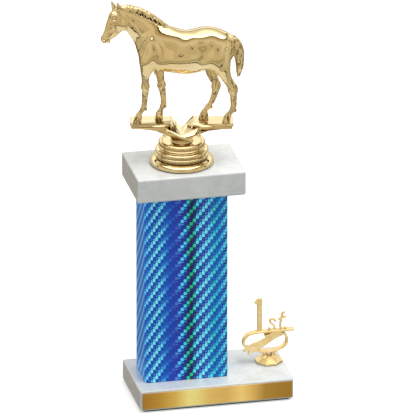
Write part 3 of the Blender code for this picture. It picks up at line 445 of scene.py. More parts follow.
def bend_head(points):
    """Turns the head and the upper neck about the vertical, more towards the nose."""
    share = np.clip((-30.0 - points[:, 0]) / 16.0, 0.0, 1.0)
    angle = math.radians(10.0) * share * share * (3 - 2 * share)
    x, y = points[:, 0] + 38.0, points[:, 1]
    return np.stack([x * np.cos(angle) - y * np.sin(angle) - 38.0, x * np.sin(angle) + y * np.cos(angle), points[:, 2]], axis=1)


def sculpt_horse():
    f = Field()
    horse_trunk(f)
    horse_legs(f)
    horse_grooves(f)
    horse_head(f)
    horse_eyes(f)
    horse_ears(f)
    horse_hooves(f)
    horse_mane(f)
    horse_tail(f)
    points, quads = skin(f, (-64, -16, -1.2), (50, 16, 99), 0.45)
    return bend_head(relax(points, quads, smooth_share(points))), quads


def smooth_share(points):
    """1 on the back and flanks, about a third on the neck, chest and thighs, and 0 on the fine detail."""
    x, z = points[:, 0], points[:, 2]
    share = np.clip((z - 30.0) / 8.0, 0.0, 1.0) * np.clip((34.0 - x) / 4.0, 0.0, 1.0) * np.clip((x + 44.0) / 5.0, 0.0, 1.0)
    mane_line = np.interp(x, [-46, -36, -24, -12, -6], [84.0, 84.0, 79.5, 74.5, 90.0])
    broad = np.clip((x + 16.0) / 6.0, 0.0, 1.0) * np.clip((z - 46.0) / 6.0, 0.0, 1.0)
    return share * np.clip((mane_line - z) / 2.0, 0.0, 1.0) * (0.35 + 0.65 * broad)


# ---------------------------------------------------------------- node materials
class Nodes:
    """Builds a material's node tree; sums of sockets are written as ordinary sums."""

    def __init__(self, name):
        self.material = bpy.data.materials.new(name)
        self.material.use_nodes = True
        self.tree = self.material.node_tree
        self.shader = self.tree.nodes["Principled BSDF"]

    def node(self, kind, **settings):
        node = self.tree.nodes.new(kind)
        for key, value in settings.items():
            setattr(node, key, value)
        return node

    def plug(self, socket, value):
        if isinstance(value, Value):
            value = value.socket
        if isinstance(value, bpy.types.NodeSocket):
            self.tree.links.new(value, socket)
        else:
            socket.default_value = value

    def put(self, name, value):
        self.plug(self.shader.inputs[name], value)

    def math(self, operation, *values, clamp=False):
        node = self.node("ShaderNodeMath", operation=operation, use_clamp=clamp)
        for socket, value in zip(node.inputs, values):
            self.plug(socket, value)
        return Value(self, node.outputs[0])

    def coordinates(self, kind="Object"):
        return Value(self, self.node("ShaderNodeTexCoord").outputs[kind])

    def pointiness(self):
        """Under a half in creases, over a half on edges."""
        return Value(self, self.node("ShaderNodeNewGeometry").outputs["Pointiness"])

    def split(self, vector):
        node = self.node("ShaderNodeSeparateXYZ")
        self.plug(node.inputs[0], vector)
        return [Value(self, out) for out in node.outputs]

    def join(self, x, y, z):
        node = self.node("ShaderNodeCombineXYZ")
        for socket, value in zip(node.inputs, (x, y, z)):
            self.plug(socket, value)
        return Value(self, node.outputs[0])

    def stretch(self, vector, scale, turn=(0, 0, 0)):
        node = self.node("ShaderNodeMapping")
        self.plug(node.inputs["Vector"], vector)
        node.inputs["Scale"].default_value = scale
        node.inputs["Rotation"].default_value = turn
        return Value(self, node.outputs[0])

    def noise(self, vector, scale, detail=3.0, rough=0.5, warp=0.0, kind="FBM"):
        node = self.node("ShaderNodeTexNoise", noise_type=kind)
        self.plug(node.inputs["Vector"], vector)
        node.inputs["Scale"].default_value = scale
        node.inputs["Detail"].default_value = detail
        node.inputs["Roughness"].default_value = rough
        node.inputs["Distortion"].default_value = warp
        return Value(self, node.outputs["Fac"])

    def ramp(self, value, stops, smooth="LINEAR"):
        """stops are (position, colour or grey level)."""
        node = self.node("ShaderNodeValToRGB")
        self.plug(node.inputs[0], value)
        node.color_ramp.interpolation = smooth
        elements = node.color_ramp.elements
        for n, (position, colour) in enumerate(stops):
            element = elements[n] if n < 2 else elements.new(position)
            element.position = position
            element.color = tone(colour)
        return Value(self, node.outputs[0])

    def mix(self, share, first, second, blend="MIX"):
        node = self.node("ShaderNodeMix", data_type="RGBA", blend_type=blend)
        self.plug(node.inputs[0], share)
        self.plug(node.inputs[6], tone(first) if not isinstance(first, Value) else first)
        self.plug(node.inputs[7], tone(second) if not isinstance(second, Value) else second)
        return Value(self, node.outputs[2])

    def bump(self, height, depth_mm, strength=1.0, under=None):
        node = self.node("ShaderNodeBump")
        self.plug(node.inputs["Height"], height)
        node.inputs["Distance"].default_value = depth_mm * MM
        node.inputs["Strength"].default_value = strength
        if under is not None:
            self.plug(node.inputs["Normal"], under)
        return Value(self, node.outputs[0])


class Value:
    """A socket that can be added, multiplied and compared."""

    def __init__(self, nodes, socket):
        self.nodes = nodes
        self.socket = socket

    def __add__(self, other):
        return self.nodes.math("ADD", self, other)

    def __sub__(self, other):
        return self.nodes.math("SUBTRACT", self, other)

    def __rsub__(self, other):
        return self.nodes.math("SUBTRACT", other, self)

    def __mul__(self, other):
        return self.nodes.math("MULTIPLY", self, other)

    def __truediv__(self, other):
        return self.nodes.math("DIVIDE", self, other)

    __radd__ = __add__
    __rmul__ = __mul__

    def above(self, other):
        return self.nodes.math("GREATER_THAN", self, other)

    def below(self, other):
        return self.nodes.math("LESS_THAN", self, other)


def tone(colour):
    """'#rrggbb' as linear light, or a grey level."""
    if isinstance(colour, (int, float)):
        return (colour, colour, colour, 1.0)
    if isinstance(colour, str):
        parts = [int(colour[i : i + 2], 16) / 255 for i in (1, 3, 5)]
        return (*[c / 12.92 if c <= 0.04045 else ((c + 0.055) / 1.055) ** 2.4 for c in parts], 1.0)
    return colour


def marble_material():
    """Polished white marble: cloudy grey drifts, a few soft veins and small specks."""
    n = Nodes("white_marble")
    at = n.coordinates()
    cloud = n.noise(at, 26.0, 5.0, 0.6, 1.2)
    vein_at = n.stretch(at, (1.0, 1.6, 1.3), (0.3, 0.5, 0.6))
    vein = n.math("ABSOLUTE", n.noise(vein_at, 17.0, 6.0, 0.55, 1.8) - 0.5)
    thread = n.math("ABSOLUTE", n.noise(n.stretch(at, (1.4, 0.9, 1.0), (0.9, 0.2, 0.4)), 38.0, 6.0, 0.6, 2.2) - 0.5)
    body = n.ramp(cloud, [(0.3, "#e0e3e3"), (0.5, "#e7eae9"), (0.72, "#eff2f1")])
    veined = n.mix(n.ramp(vein, [(0.0, 0.13), (0.05, 0.06), (0.14, 0.0)]), body, "#a9adab")
    veined = n.mix(n.ramp(thread, [(0.0, 0.1), (0.02, 0.03), (0.05, 0.0)]), veined, "#b4b6b0")
    speck = n.noise(at, 420.0, 2.0, 0.5)
    colour = n.mix(n.ramp(speck, [(0.68, 0.0), (0.74, 0.35)]), veined, "#c3c3bb")
    n.put("Base Color", colour)
    n.put("Roughness", n.ramp(n.noise(at, 90.0, 3.0), [(0.3, 0.16), (0.7, 0.3)]))
    n.put("Subsurface Weight", 0.12)
    n.put("Subsurface Radius", (0.004, 0.004, 0.0035))
    n.put("Coat Weight", 0.12)
    n.put("Coat Roughness", 0.15)
    n.put("Normal", n.bump(n.noise(at, 260.0, 4.0) + n.noise(at, 55.0, 3.0) * 0.6, 0.05))
    return n.material


def bright_gold_material(name="bright_gold", rugged=None):
    """Vacuum-metallised gold over moulded plastic: mirror bright, faint orange peel, slightly uneven tint.

    rugged, if given, measures 0 to 1 where the casting is lined, with painted shade in the hollows of its lines."""
    n = Nodes(name)
    at = n.coordinates()
    colour = n.ramp(n.noise(at, 60.0, 3.0), [(0.3, "#e4ce9e"), (0.6, "#ebd8ac"), (0.8, "#f0e0b8")])
    # Painted shade: creases, where pointiness is low, are painted dark brown.
    colour = n.mix(n.ramp(n.pointiness(), [(0.40, 0.85), (0.485, 0.0)]), colour, "#4d3a20")
    # Painted shade: recesses within 4 mm, found by ambient occlusion, are painted dark brown.
    ao_shade = n.node("ShaderNodeAmbientOcclusion")
    ao_shade.inputs["Distance"].default_value = 0.004
    colour = n.mix(n.ramp(Value(n, ao_shade.outputs["AO"]), [(0.3, 0.9), (0.72, 0.0)]), colour, "#4e3b20")
    # Without rugged, painted shade: faces turned downwards are painted darker brown.
    if rugged is None:
        _, _, top = n.split(Value(n, n.node("ShaderNodeNewGeometry").outputs["Normal"]))
        colour = n.mix(n.math("MULTIPLY", 0.25 - top, 2.0, clamp=True) * 0.5, colour, "#7a5c2e")
    peel = n.bump(n.noise(at, 700.0, 2.0) + n.noise(at, 150.0, 2.0) * 0.8, 0.012)
    if rugged is not None:
        share = rugged(n, at)
        lines = n.noise(n.stretch(at, (1.0, 1.0, 0.4)), 620.0, 3.0, 0.6, 0.6)
        # Painted shade: the hollows of the fine lines are painted dark brown.
        hollow = n.ramp(lines, [(0.38, 1.0), (0.5, 0.0)])
        colour = n.mix(hollow * share * 0.85, colour, "#5d4526")
        peel = n.bump(lines * share, 1.1, 0.9, peel)
    n.put("Base Color", colour)
    n.put("Metallic", 1.0)
    n.put("Roughness", n.ramp(n.noise(at, 130.0, 3.0), [(0.35, 0.035), (0.7, 0.09)]))
    n.put("Normal", peel)
    return n.material


def lined_parts(n, at):
    """1 on the horse's legs, tail and mane, and 0 on its polished body."""
    x, y, z = n.split(at)
    c, s = math.cos(FIGURE_TWIST) / MM, math.sin(FIGURE_TWIST) / MM
    along = (x - float(FIGURE_ORIGIN[0])) * c + (y - float(FIGURE_ORIGIN[1])) * s
    height = (z - float(FIGURE_ORIGIN[2]) - PLINTH_TOP * MM) * (1.0 / MM)
    legs = n.math("MULTIPLY", 40.0 - height, 0.12, clamp=True)
    hooves = n.math("MULTIPLY", 7.0 - height, 0.4, clamp=True)
    tail = n.math("MULTIPLY", along - 35.0, 0.5, clamp=True)
    crest = n.math("MULTIPLY", height + along * 0.45 - 69.5, 0.8, clamp=True)
    crest = crest * n.math("MULTIPLY", -8.0 - along, 0.3, clamp=True)
    return n.math("MAXIMUM", n.math("MAXIMUM", legs * 0.8 + hooves * 0.7, tail), crest * 0.7)


def satin_gold_material():
    """Satin gold casting: a fine sandy grain, with painted shade in its creases, recesses, right-facing sides and
    undersides, and a faint painted glow.
    """
    n = Nodes("satin_gold")
    at = n.coordinates()
    grain = n.noise(at, 1500.0, 3.0, 0.7)
    lump = n.noise(at, 320.0, 3.0, 0.6)
    colour = n.ramp(lump, [(0.3, "#f0d092"), (0.55, "#f7dfa8"), (0.75, "#fdebc0")])
    # Painted shade: creases, where pointiness is low, are painted brown.
    colour = n.mix(n.ramp(n.pointiness(), [(0.42, 0.7), (0.49, 0.0)]), colour, "#8a6a34")
    # Painted shade: recesses within 5 mm, found by ambient occlusion, are painted brown.
    ao_shade = n.node("ShaderNodeAmbientOcclusion")
    ao_shade.inputs["Distance"].default_value = 0.005
    colour = n.mix(n.ramp(Value(n, ao_shade.outputs["AO"]), [(0.3, 0.9), (0.85, 0.0)]), colour, "#94702e")
    # Painted shade: faces turned to the right and downwards are painted darker brown.
    right, _, top = n.split(Value(n, n.node("ShaderNodeNewGeometry").outputs["Normal"]))
    painted_lee_shade = n.math("MULTIPLY", right * 0.8 - top * 0.9 - 0.12, 1.3, clamp=True)
    colour = n.mix(painted_lee_shade * 0.75, colour, "#8f6a28")
    n.put("Base Color", colour)
    # Painted glow: the casting emits its own colour faintly.
    n.put("Emission Color", colour)
    n.put("Emission Strength", 0.16)
    n.put("Metallic", 0.85)
    n.put("Roughness", n.ramp(grain, [(0.3, 0.4), (0.7, 0.24)]))
    n.put("Normal", n.bump(grain + lump * 0.8, 0.09, 0.9))
    return n.material


def plate_material(centre, length):
    """Brushed gold sheet: long fine scratches, two painted bright reflections along its length and a faint painted
    glow.
    """
    n = Nodes("brushed_gold_plate")
    at = n.coordinates()
    x, y, z = n.split(at)
    scratch = n.noise(n.stretch(at, (10.0, 400.0, 2600.0)), 1.0, 4.0, 0.65)
    fine = n.noise(n.stretch(at, (45.0, 600.0, 6500.0)), 1.0, 3.0, 0.6)
    along = (x - centre) / length + 0.5
    # Painted reflections: two bright bands along the length, darker towards both ends.
    sheen = n.ramp(along + (scratch - 0.5) * 0.012, [
        (0.0, "#a3772c"), (0.1, "#b88a35"), (0.22, "#d9b457"), (0.31, "#f3e592"), (0.36, "#f0e08c"), (0.45, "#e3c06f"),
        (0.56, "#dcb566"), (0.66, "#f6d581"), (0.72, "#e6c06a"), (0.82, "#ae8738"), (0.92, "#a57c30"), (1.0, "#a17829"),
    ])
    colour = n.mix(n.ramp(scratch, [(0.35, 0.22), (0.65, 0.0)]), sheen, "#8a6428")
    n.put("Base Color", colour)
    # Painted glow: the plate emits its own colour.
    n.put("Emission Color", colour)
    n.put("Emission Strength", 0.37)
    n.put("Metallic", 0.55)
    n.put("Roughness", n.ramp(fine, [(0.3, 0.26), (0.7, 0.42)]))
    n.put("Anisotropic", 0.6)
    n.put("Normal", n.bump(scratch + fine * 0.7, 0.012, 0.7))
    return n.material


def film_material():
    """Holographic weave film: a four-row diagonal of bright flecks whose colour drifts across the width.

    The mesh's film map holds, in mm, the distance round the column from the front's middle and the height."""
    n = Nodes("blue_weave_film")
    across, up, _ = n.split(n.coordinates("UV"))
    half, pitch, row = 31.75, 2.34, 2.55
    squeeze = 1.0 + n.math("MINIMUM", (across / half) * (across / half), 1.0) * 0.13
    column = across * squeeze / pitch + 40.0
    index = n.math("FLOOR", column)
    fu = n.math("FRACT", column)
    height = up / row - index + 400.0
    phase = n.math("MODULO", height, 4.0)
    fv = n.math("FRACT", phase)
    step = n.math("FLOOR", phase)
    wobble = n.noise(n.join(across, up * 0.3, 0.0), 0.12, 2.0) - 0.5
    t = (across + wobble * 3.0 + (up - 75.0) * -0.012) / (2 * half) + 0.5

    def fleck(which, wide, tall, shift=0.5):
        du = n.math("ABSOLUTE", fu - 0.5) * (2.0 / wide)
        dv = n.math("ABSOLUTE", fv - shift) * (2.0 / tall)
        inside = 1.0 - n.math("POWER", du, 6.0) - n.math("POWER", dv, 6.0)
        return n.math("MULTIPLY", inside * 3.0, n.math("COMPARE", step, which, 0.1), clamp=True)

    ground = n.ramp(t, [
        (0.0, "#1668c4"), (0.1, "#1453b0"), (0.22, "#125fb8"), (0.33, "#2144ac"), (0.4, "#2c3fa8"), (0.47, "#1d3fa6"),
        (0.53, "#152468"), (0.58, "#1c2260"), (0.63, "#26389a"), (0.72, "#2450b4"), (0.82, "#1263b8"), (0.92, "#1a58bc"),
        (0.98, "#16268a"), (1.0, "#0f1a62"),
    ])
    ink = n.ramp(t, [(0.0, "#0b3c96"), (0.3, "#10349a"), (0.45, "#141f74"), (0.55, "#181650"), (0.62, "#1c1a72"), (0.8, "#103a94"), (1.0, "#0c1560")])
    light = n.ramp(t, [
        (0.0, "#58bdf2"), (0.06, "#74dcee"), (0.17, "#74e2ea"), (0.22, "#58c6ea"), (0.28, "#2a8ad4"), (0.35, "#3f66c6"),
        (0.40, "#4f9ae6"), (0.44, "#52d2fa"), (0.475, "#3fcdf2"), (0.505, "#34c79c"), (0.55, "#0fb36a"), (0.58, "#1cc890"),
        (0.61, "#55daf6"), (0.72, "#78e0ee"), (0.79, "#58d2ea"), (0.83, "#2ccdb8"), (0.87, "#34b4de"), (0.97, "#58def6"),
        (1.0, "#48c8f2"),
    ])
    first = n.ramp(t, [(0.0, 1.0), (0.2, 1.0), (0.26, 0.55), (0.32, 0.35), (0.38, 0.55), (0.42, 1.0), (0.85, 1.0), (0.9, 0.75), (1.0, 1.0)])
    second = n.ramp(t, [(0.0, 0.4), (0.12, 0.6), (0.18, 0.65), (0.24, 0.25), (0.3, 0.0), (0.5, 0.0), (0.57, 0.0), (0.6, 0.5), (0.65, 0.7), (0.76, 0.75), (0.86, 0.4), (1.0, 0.8)])
    dash = n.ramp(t, [(0.0, 0.0), (0.3, 0.0), (0.4, 0.7), (0.5, 0.55), (0.56, 0.1), (0.9, 0.2), (0.96, 0.8), (1.0, 0.5)])
    thread = n.math("ABSOLUTE", n.math("FRACT", column * 2.0) - 0.5)
    woven = n.mix(n.ramp(thread, [(0.12, 0.0), (0.4, 0.85)]), ground, ink)
    woven = n.mix(fleck(3.0, 1.15, 1.1) * 0.5, woven, ink)
    woven = n.mix(fleck(3.0, 1.0, 0.28) * dash, woven, light)
    woven = n.mix(fleck(1.0, 0.7, 0.8, 0.4) * second, woven, light)
    woven = n.mix(fleck(2.0, 0.5, 0.6) * second * 0.35, woven, light)
    woven = n.mix(fleck(0.0, 1.12, 1.12) * first, woven, light)
    n.put("Base Color", woven)
    # Painted glow: the weave emits its own colour.
    n.put("Emission Color", woven)
    n.put("Emission Strength", 0.42)
    n.put("Specular IOR Level", 0.2)
    n.put("Roughness", 0.3)
    n.put("Coat Weight", 0.12)
    n.put("Coat Roughness", 0.1)
    relief = fleck(0.0, 1.12, 1.12) + fleck(1.0, 0.7, 0.8) * 0.6 - n.ramp(thread, [(0.2, 0.0), (0.45, 0.5)])
    n.put("Normal", n.bump(relief, 0.035, 0.6))
    return n.material


def felt_material():
    n = Nodes("green_felt")
    at = n.coordinates()
    fuzz = n.noise(at, 900.0, 4.0, 0.7)
    n.put("Base Color", n.ramp(fuzz, [(0.3, "#0f3a22"), (0.7, "#23613c")]))
    n.put("Roughness", 0.95)
    n.put("Sheen Weight", 0.4)
    n.put("Normal", n.bump(fuzz, 0.2))
    return n.material


def plastic_material(name, first, second, roughness):
    n = Nodes(name)
    at = n.coordinates()
    n.put("Base Color", n.ramp(n.noise(at, 80.0, 3.0), [(0.3, first), (0.7, second)]))
    n.put("Roughness", n.ramp(n.noise(at, 300.0, 2.0), [(0.3, roughness), (0.7, roughness + 0.15)]))
    n.put("Normal", n.bump(n.noise(at, 500.0, 3.0), 0.03))
    return n.material


def steel_material():
    """Zinc plate with fine turning marks and a faint rainbow of passivation."""
    n = Nodes("zinc_steel")
    at = n.coordinates()
    marks = n.noise(n.stretch(at, (300.0, 300.0, 4000.0)), 1.0, 3.0)
    n.put("Base Color", n.ramp(n.noise(at, 140.0, 3.0), [(0.3, "#b9bcbf"), (0.55, "#cfcfc6"), (0.75, "#bcc4cc")]))
    n.put("Metallic", 1.0)
    n.put("Roughness", n.ramp(marks, [(0.3, 0.28), (0.7, 0.45)]))
    n.put("Normal", n.bump(marks, 0.02))
    return n.material


# ---------------------------------------------------------------- making pieces
def add_mesh(name, points, faces, material, smooth=True):
    mesh = bpy.data.meshes.new(name)
    mesh.from_pydata([tuple(p) for p in points], [], [tuple(f) for f in faces])
    mesh.update()
    mesh.polygons.foreach_set("use_smooth", [smooth] * len(mesh.polygons))
    mesh.materials.append(material)
    piece = bpy.data.objects.new(name, mesh)
    bpy.context.scene.collection.objects.link(piece)
    return piece


def place(points, origin, twist=0.0, lift=0.0):
    """Points in mm about a joint's axis, as row-frame metres."""
    c, s = math.cos(twist), math.sin(twist)
    points = np.asarray(points, float) + np.array([0, 0, lift])
    x = points[:, 0] * c - points[:, 1] * s
    y = points[:, 0] * s + points[:, 1] * c
    return np.stack([x, y, points[:, 2]], axis=1) * MM + origin


def settle(piece, body, slot, *nodes):
    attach(piece, body)
    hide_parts(*nodes)
    return piece


def bevelled(piece, width, segments=2, angle=30):
    modifier = piece.modifiers.new("edges", "BEVEL")
    modifier.width = width * MM
    modifier.segments = segments
    modifier.limit_method = "ANGLE"
    modifier.angle_limit = math.radians(angle)
    modifier.harden_normals = True
    return piece


def applied(piece):
    """Turns a piece's modifiers into plain mesh."""
    graph = bpy.context.evaluated_depsgraph_get()
    mesh = bpy.data.meshes.new_from_object(piece.evaluated_get(graph))
    piece.modifiers.clear()
    piece.data = mesh
    return piece


def join_solids(pieces):
    """One closed solid from overlapping ones."""
    first = pieces[0]
    for other in pieces[1:]:
        modifier = first.modifiers.new("join", "BOOLEAN")
        modifier.operation = "UNION"
        modifier.object = other
    applied(first)
    for other in pieces[1:]:
        bpy.data.objects.remove(other)
    return first


def prism(name, outline, low, high, material):
    """A closed prism: outline in XZ, from y = low to y = high, in mm."""
    n = len(outline)
    points = [(x, low, z) for x, z in outline] + [(x, high, z) for x, z in outline]
    area = sum(a[0] * b[1] - b[0] * a[1] for a, b in zip(outline, outline[1:] + outline[:1]))
    faces = [tuple(range(n)), tuple(range(2 * n - 1, n - 1, -1))]
    faces += [(i, i + n, (i + 1) % n + n, (i + 1) % n) for i in range(n)]
    if area < 0:
        faces = [f[::-1] for f in faces]
    return add_mesh(name, points, faces, material, smooth=False)


def lathe(name, profile, material, sides=160):
    """profile is (radius, height) from the top of the axis, down the outside and back up the inside, in mm."""
    profile = np.array(profile, float)
    angles = 2 * math.pi * np.arange(sides) / sides
    rings = len(profile)
    points = np.stack([
        np.outer(np.cos(angles), profile[:, 0]), np.outer(np.sin(angles), profile[:, 0]),
        np.outer(np.ones(sides), profile[:, 1]),
    ], axis=2).reshape(-1, 3)
    faces = []
    for a in range(sides):
        b = (a + 1) % sides
        for i in range(rings - 1):
            faces.append((a * rings + i + 1, b * rings + i + 1, b * rings + i, a * rings + i))
    piece = add_mesh(name, points, faces, material)
    weld = piece.modifiers.new("weld", "WELD")
    weld.merge_threshold = 0.0005
    return applied(piece)


def arc_corner(corners, radius, steps=5):
    """Rounds the corners of a line of (r, z) points."""
    out = [corners[0]]
    for a, b, c in zip(corners, corners[1:], corners[2:]):
        a, b, c = (np.array(p, float) for p in (a, b, c))
        reach = min(radius, 0.45 * np.linalg.norm(b - a), 0.45 * np.linalg.norm(c - b))
        start = b + (a - b) / np.linalg.norm(a - b) * reach
        end = b + (c - b) / np.linalg.norm(c - b) * reach
        for t in np.linspace(0, 1, steps):
            out.append(tuple((1 - t) ** 2 * start + 2 * t * (1 - t) * b + t * t * end))
    out.append(corners[-1])
    return out


# ---------------------------------------------------------------- the stone, plate, film and hardware
def dress_frame():
    """Gives every CAD node that stays visible its material."""
    white = plastic_material("white_styrene", "#dcdcd8", "#ecece8", 0.4)
    tape = plastic_material("tape_adhesive", "#d8d8cc", "#e6e6da", 0.5)
    steel = steel_material()
    finishes = {
        "base_felt": felt_material(),
        "base_marble": marble_material(),
        "nameplate_tape": tape,
        "column_tube": white,
        "column_insert_lower": white,
        "column_insert_upper": white,
        "figure_nut": steel,
        "rod": steel,
        "rod_nut": steel,
        "rod_washer": steel,
        "trim_screw": steel,
        "trim_washer": steel,
    }
    finishes["cap_marble"] = finishes["base_marble"]
    for name, material in finishes.items():
        mesh = NODES[name].data
        mesh.materials.clear()
        mesh.materials.append(material)
    for name in ("base_marble", "cap_marble"):
        NODES[name].data.polygons.foreach_set("use_smooth", [True] * len(NODES[name].data.polygons))


def column_wrap():
    """The film sleeve, its corners rolled smoothly and its overlap standing a little proud down the back."""
    low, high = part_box("column_film")
    centre = (low + high) / 2
    half_x, half_y = (high.x - low.x) / 2 / MM, (high.y - low.y) / 2 / MM
    corner, segments = 3.0, 10
    outline = []
    for sx, sy, start in ((1, -1, -90), (1, 1, 0), (-1, 1, 90), (-1, -1, 180)):
        cx, cy = sx * (half_x - corner), sy * (half_y - corner)
        for k in range(segments + 1):
            angle = math.radians(start + 90 * k / segments)
            outline.append((cx + corner * math.cos(angle), cy + corner * math.sin(angle)))
    outline = np.array(outline)
    seam = np.array([[3.2, half_y], [-3.2, half_y]])
    count = 2 * (segments + 1)
    right, left = outline[:count], outline[count:]
    path = np.vstack([seam[1:], left, right, seam[:1]])
    path[0] = (3.2, half_y - 0.02)
    path = np.vstack([[[0.2, half_y - 0.13]], [[2.0, half_y - 0.02]], path[:0], left, right, [[3.2, half_y]], [[-3.0, half_y + 0.12]]])
    path[0] = (-1.5, half_y - 0.12)
    path[1] = (-4.0, half_y)
    lengths = np.concatenate([[0], np.cumsum(np.linalg.norm(np.diff(path, axis=0), axis=1))])
    front = 0.5 * (lengths[2 + count - 1] + lengths[2 + count])
    thick = 0.22
    direction = np.gradient(path, axis=0)
    direction /= np.linalg.norm(direction, axis=1)[:, None]
    inward = np.stack([-direction[:, 1], direction[:, 0]], axis=1)
    loop = np.vstack([path, (path + inward * thick)[::-1]])
    along = np.concatenate([lengths, lengths[::-1]]) - front
    n = len(loop)
    low_z, high_z = low.z / MM, high.z / MM
    points = [(centre.x / MM + x, centre.y / MM + y, low_z) for x, y in loop]
    points += [(centre.x / MM + x, centre.y / MM + y, high_z) for x, y in loop]
    faces = [(i, (i + 1) % n, (i + 1) % n + n, i + n) for i in range(n)]
    half = len(path)
    for i in range(half - 1):
        a, b, c, d = i, i + 1, n - 2 - i, n - 1 - i
        faces.append((a, d, c, b))
        faces.append((a + n, b + n, c + n, d + n))
    piece = add_mesh("column_wrap", np.array(points) * MM, faces, film_material())
    layer = piece.data.uv_layers.new(name="film")
    for loop_ in piece.data.loops:
        i = loop_.vertex_index
        layer.data[loop_.index].uv = (along[i % n], (low_z if i < n else high_z) - low_z)
    piece.data.set_sharp_from_angle(angle=math.radians(40))
    return settle(piece, "stand", "blue_weave_film", "column_film")


def name_plate():
    """A thin sheet with rolled edges and eased corners."""
    low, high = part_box("nameplate")
    size = (high - low) / MM
    centre = (high + low) / 2 / MM
    radius, outline = 0.6, []
    for sx, sz, start in ((1, 1, 0), (-1, 1, 90), (-1, -1, 180), (1, -1, 270)):
        for k in range(5):
            angle = math.radians(start + 90 * k / 4)
            x = sx * (size.x / 2 - radius) + radius * math.cos(angle)
            z = sz * (size.z / 2 - radius) + radius * math.sin(angle)
            outline.append((centre.x + x, centre.z + z))
    plate = prism("award_plate", outline, low.y / MM, high.y / MM, plate_material(centre.x * MM, size.x * MM))
    for vertex in plate.data.vertices:
        vertex.co *= MM
    applied(bevelled(plate, 0.18, 3))
    return settle(plate, "stand", "brushed_gold_plate", "nameplate")


# ---------------------------------------------------------------- the figure
def riser(gold):
    """The turned riser: a rolled rim, two beads, a cove and a flange, hollow underneath round its nut boss."""
    outside = [
        (0.0, 17.2), (14.2, 17.2), (14.9, 18.1), (16.3, 18.3), (17.3, 17.3), (17.4, 15.8), (16.6, 14.9), (16.7, 14.1),
        (17.3, 13.6), (16.9, 12.6), (17.2, 12.2), (19.1, 11.9), (19.9, 10.9), (19.8, 9.6), (19.0, 9.1), (19.1, 8.7),
        (20.1, 8.2), (20.2, 6.9), (19.4, 6.0), (18.8, 5.7), (18.9, 5.2), (20.9, 4.7), (22.6, 3.9), (23.6, 2.7),
        (23.9, 1.5), (23.8, 0.3), (23.2, 0.0),
    ]
    inside = [(21.8, 0.0), (21.4, 2.2), (17.2, 4.4), (17.2, 10.4), (14.6, 13.2), (9.2, 13.2), (9.2, 5.0), (6.9, 5.0), (6.9, 12.1), (0.0, 12.1)]
    profile = arc_corner(outside[:-1] + [outside[-1]] + inside, 0.7, 6)
    piece = lathe("riser", profile, gold)
    piece.data.transform(Matrix.Scale(MM, 4))
    piece.data.transform(Matrix.Translation(Vector(FIGURE_ORIGIN)))
    piece.data.set_sharp_from_angle(angle=math.radians(50))
    return settle(piece, "figure", "bright_gold", "figure_base")


def slice_off(piece, point, normal):
    """Cuts away what lies on the normal's side of a plane and closes the solid."""
    import bmesh

    bm = bmesh.new()
    bm.from_mesh(piece.data)
    result = bmesh.ops.bisect_plane(
        bm, geom=bm.verts[:] + bm.edges[:] + bm.faces[:], plane_co=point, plane_no=normal, clear_outer=True, dist=1e-6
    )
    edges = [e for e in result["geom_cut"] if isinstance(e, bmesh.types.BMEdge)]
    bmesh.ops.edgeloop_fill(bm, edges=edges)
    bmesh.ops.recalc_face_normals(bm, faces=bm.faces)
    bm.to_mesh(piece.data)
    bm.free()
    return piece


def round_end(shelf, side, outer, half_depth, radius=3.0):
    """Cuts a shelf's outer corners to facets of a circle seen from above."""
    for across in (-1, 1):
        for angle in (22.5, 45.0, 67.5):
            facing = Vector((side * math.cos(math.radians(angle)), across * math.sin(math.radians(angle)), 0))
            corner = Vector((side * (outer - radius), across * (half_depth - radius), 0))
            slice_off(shelf, corner + facing * radius, facing)


def arm(side, gold):
    """Half of the V: a ridge runs down its front from the outer corner to the notch, with a facet either side."""
    back, front, bottom = 7.5, -9.7, -12.9
    corner, notch = Vector((side * 12.6, front, -2.4)), Vector((0, front, -8.9))
    crest, foot = Vector((side * 8.2, 2.0, 0.5)), Vector((side * 6.8, front + 0.5, bottom))
    deeper = Vector((0, 1, 0))
    outline = [(0, bottom), (side * 14.0, bottom), (side * 14.0, crest.z), (0, crest.z)]
    solid = prism("plinth", outline, front, back, gold)
    for facet, outward in (
        ((notch, corner, crest), (0, -1, 1)),
        ((notch, corner, foot), (0, -1, 0)),
        ((notch, notch + deeper, crest), (-side, 0, 1)),
        ((crest, crest + deeper, corner), (side, 0, 1)),
        ((corner, corner + deeper, foot), (side, 0, -1)),
    ):
        facing = (facet[1] - facet[0]).cross(facet[2] - facet[0]).normalized()
        slice_off(solid, facet[0], facing if facing.dot(Vector(outward)) > 0 else -facing)
    return solid


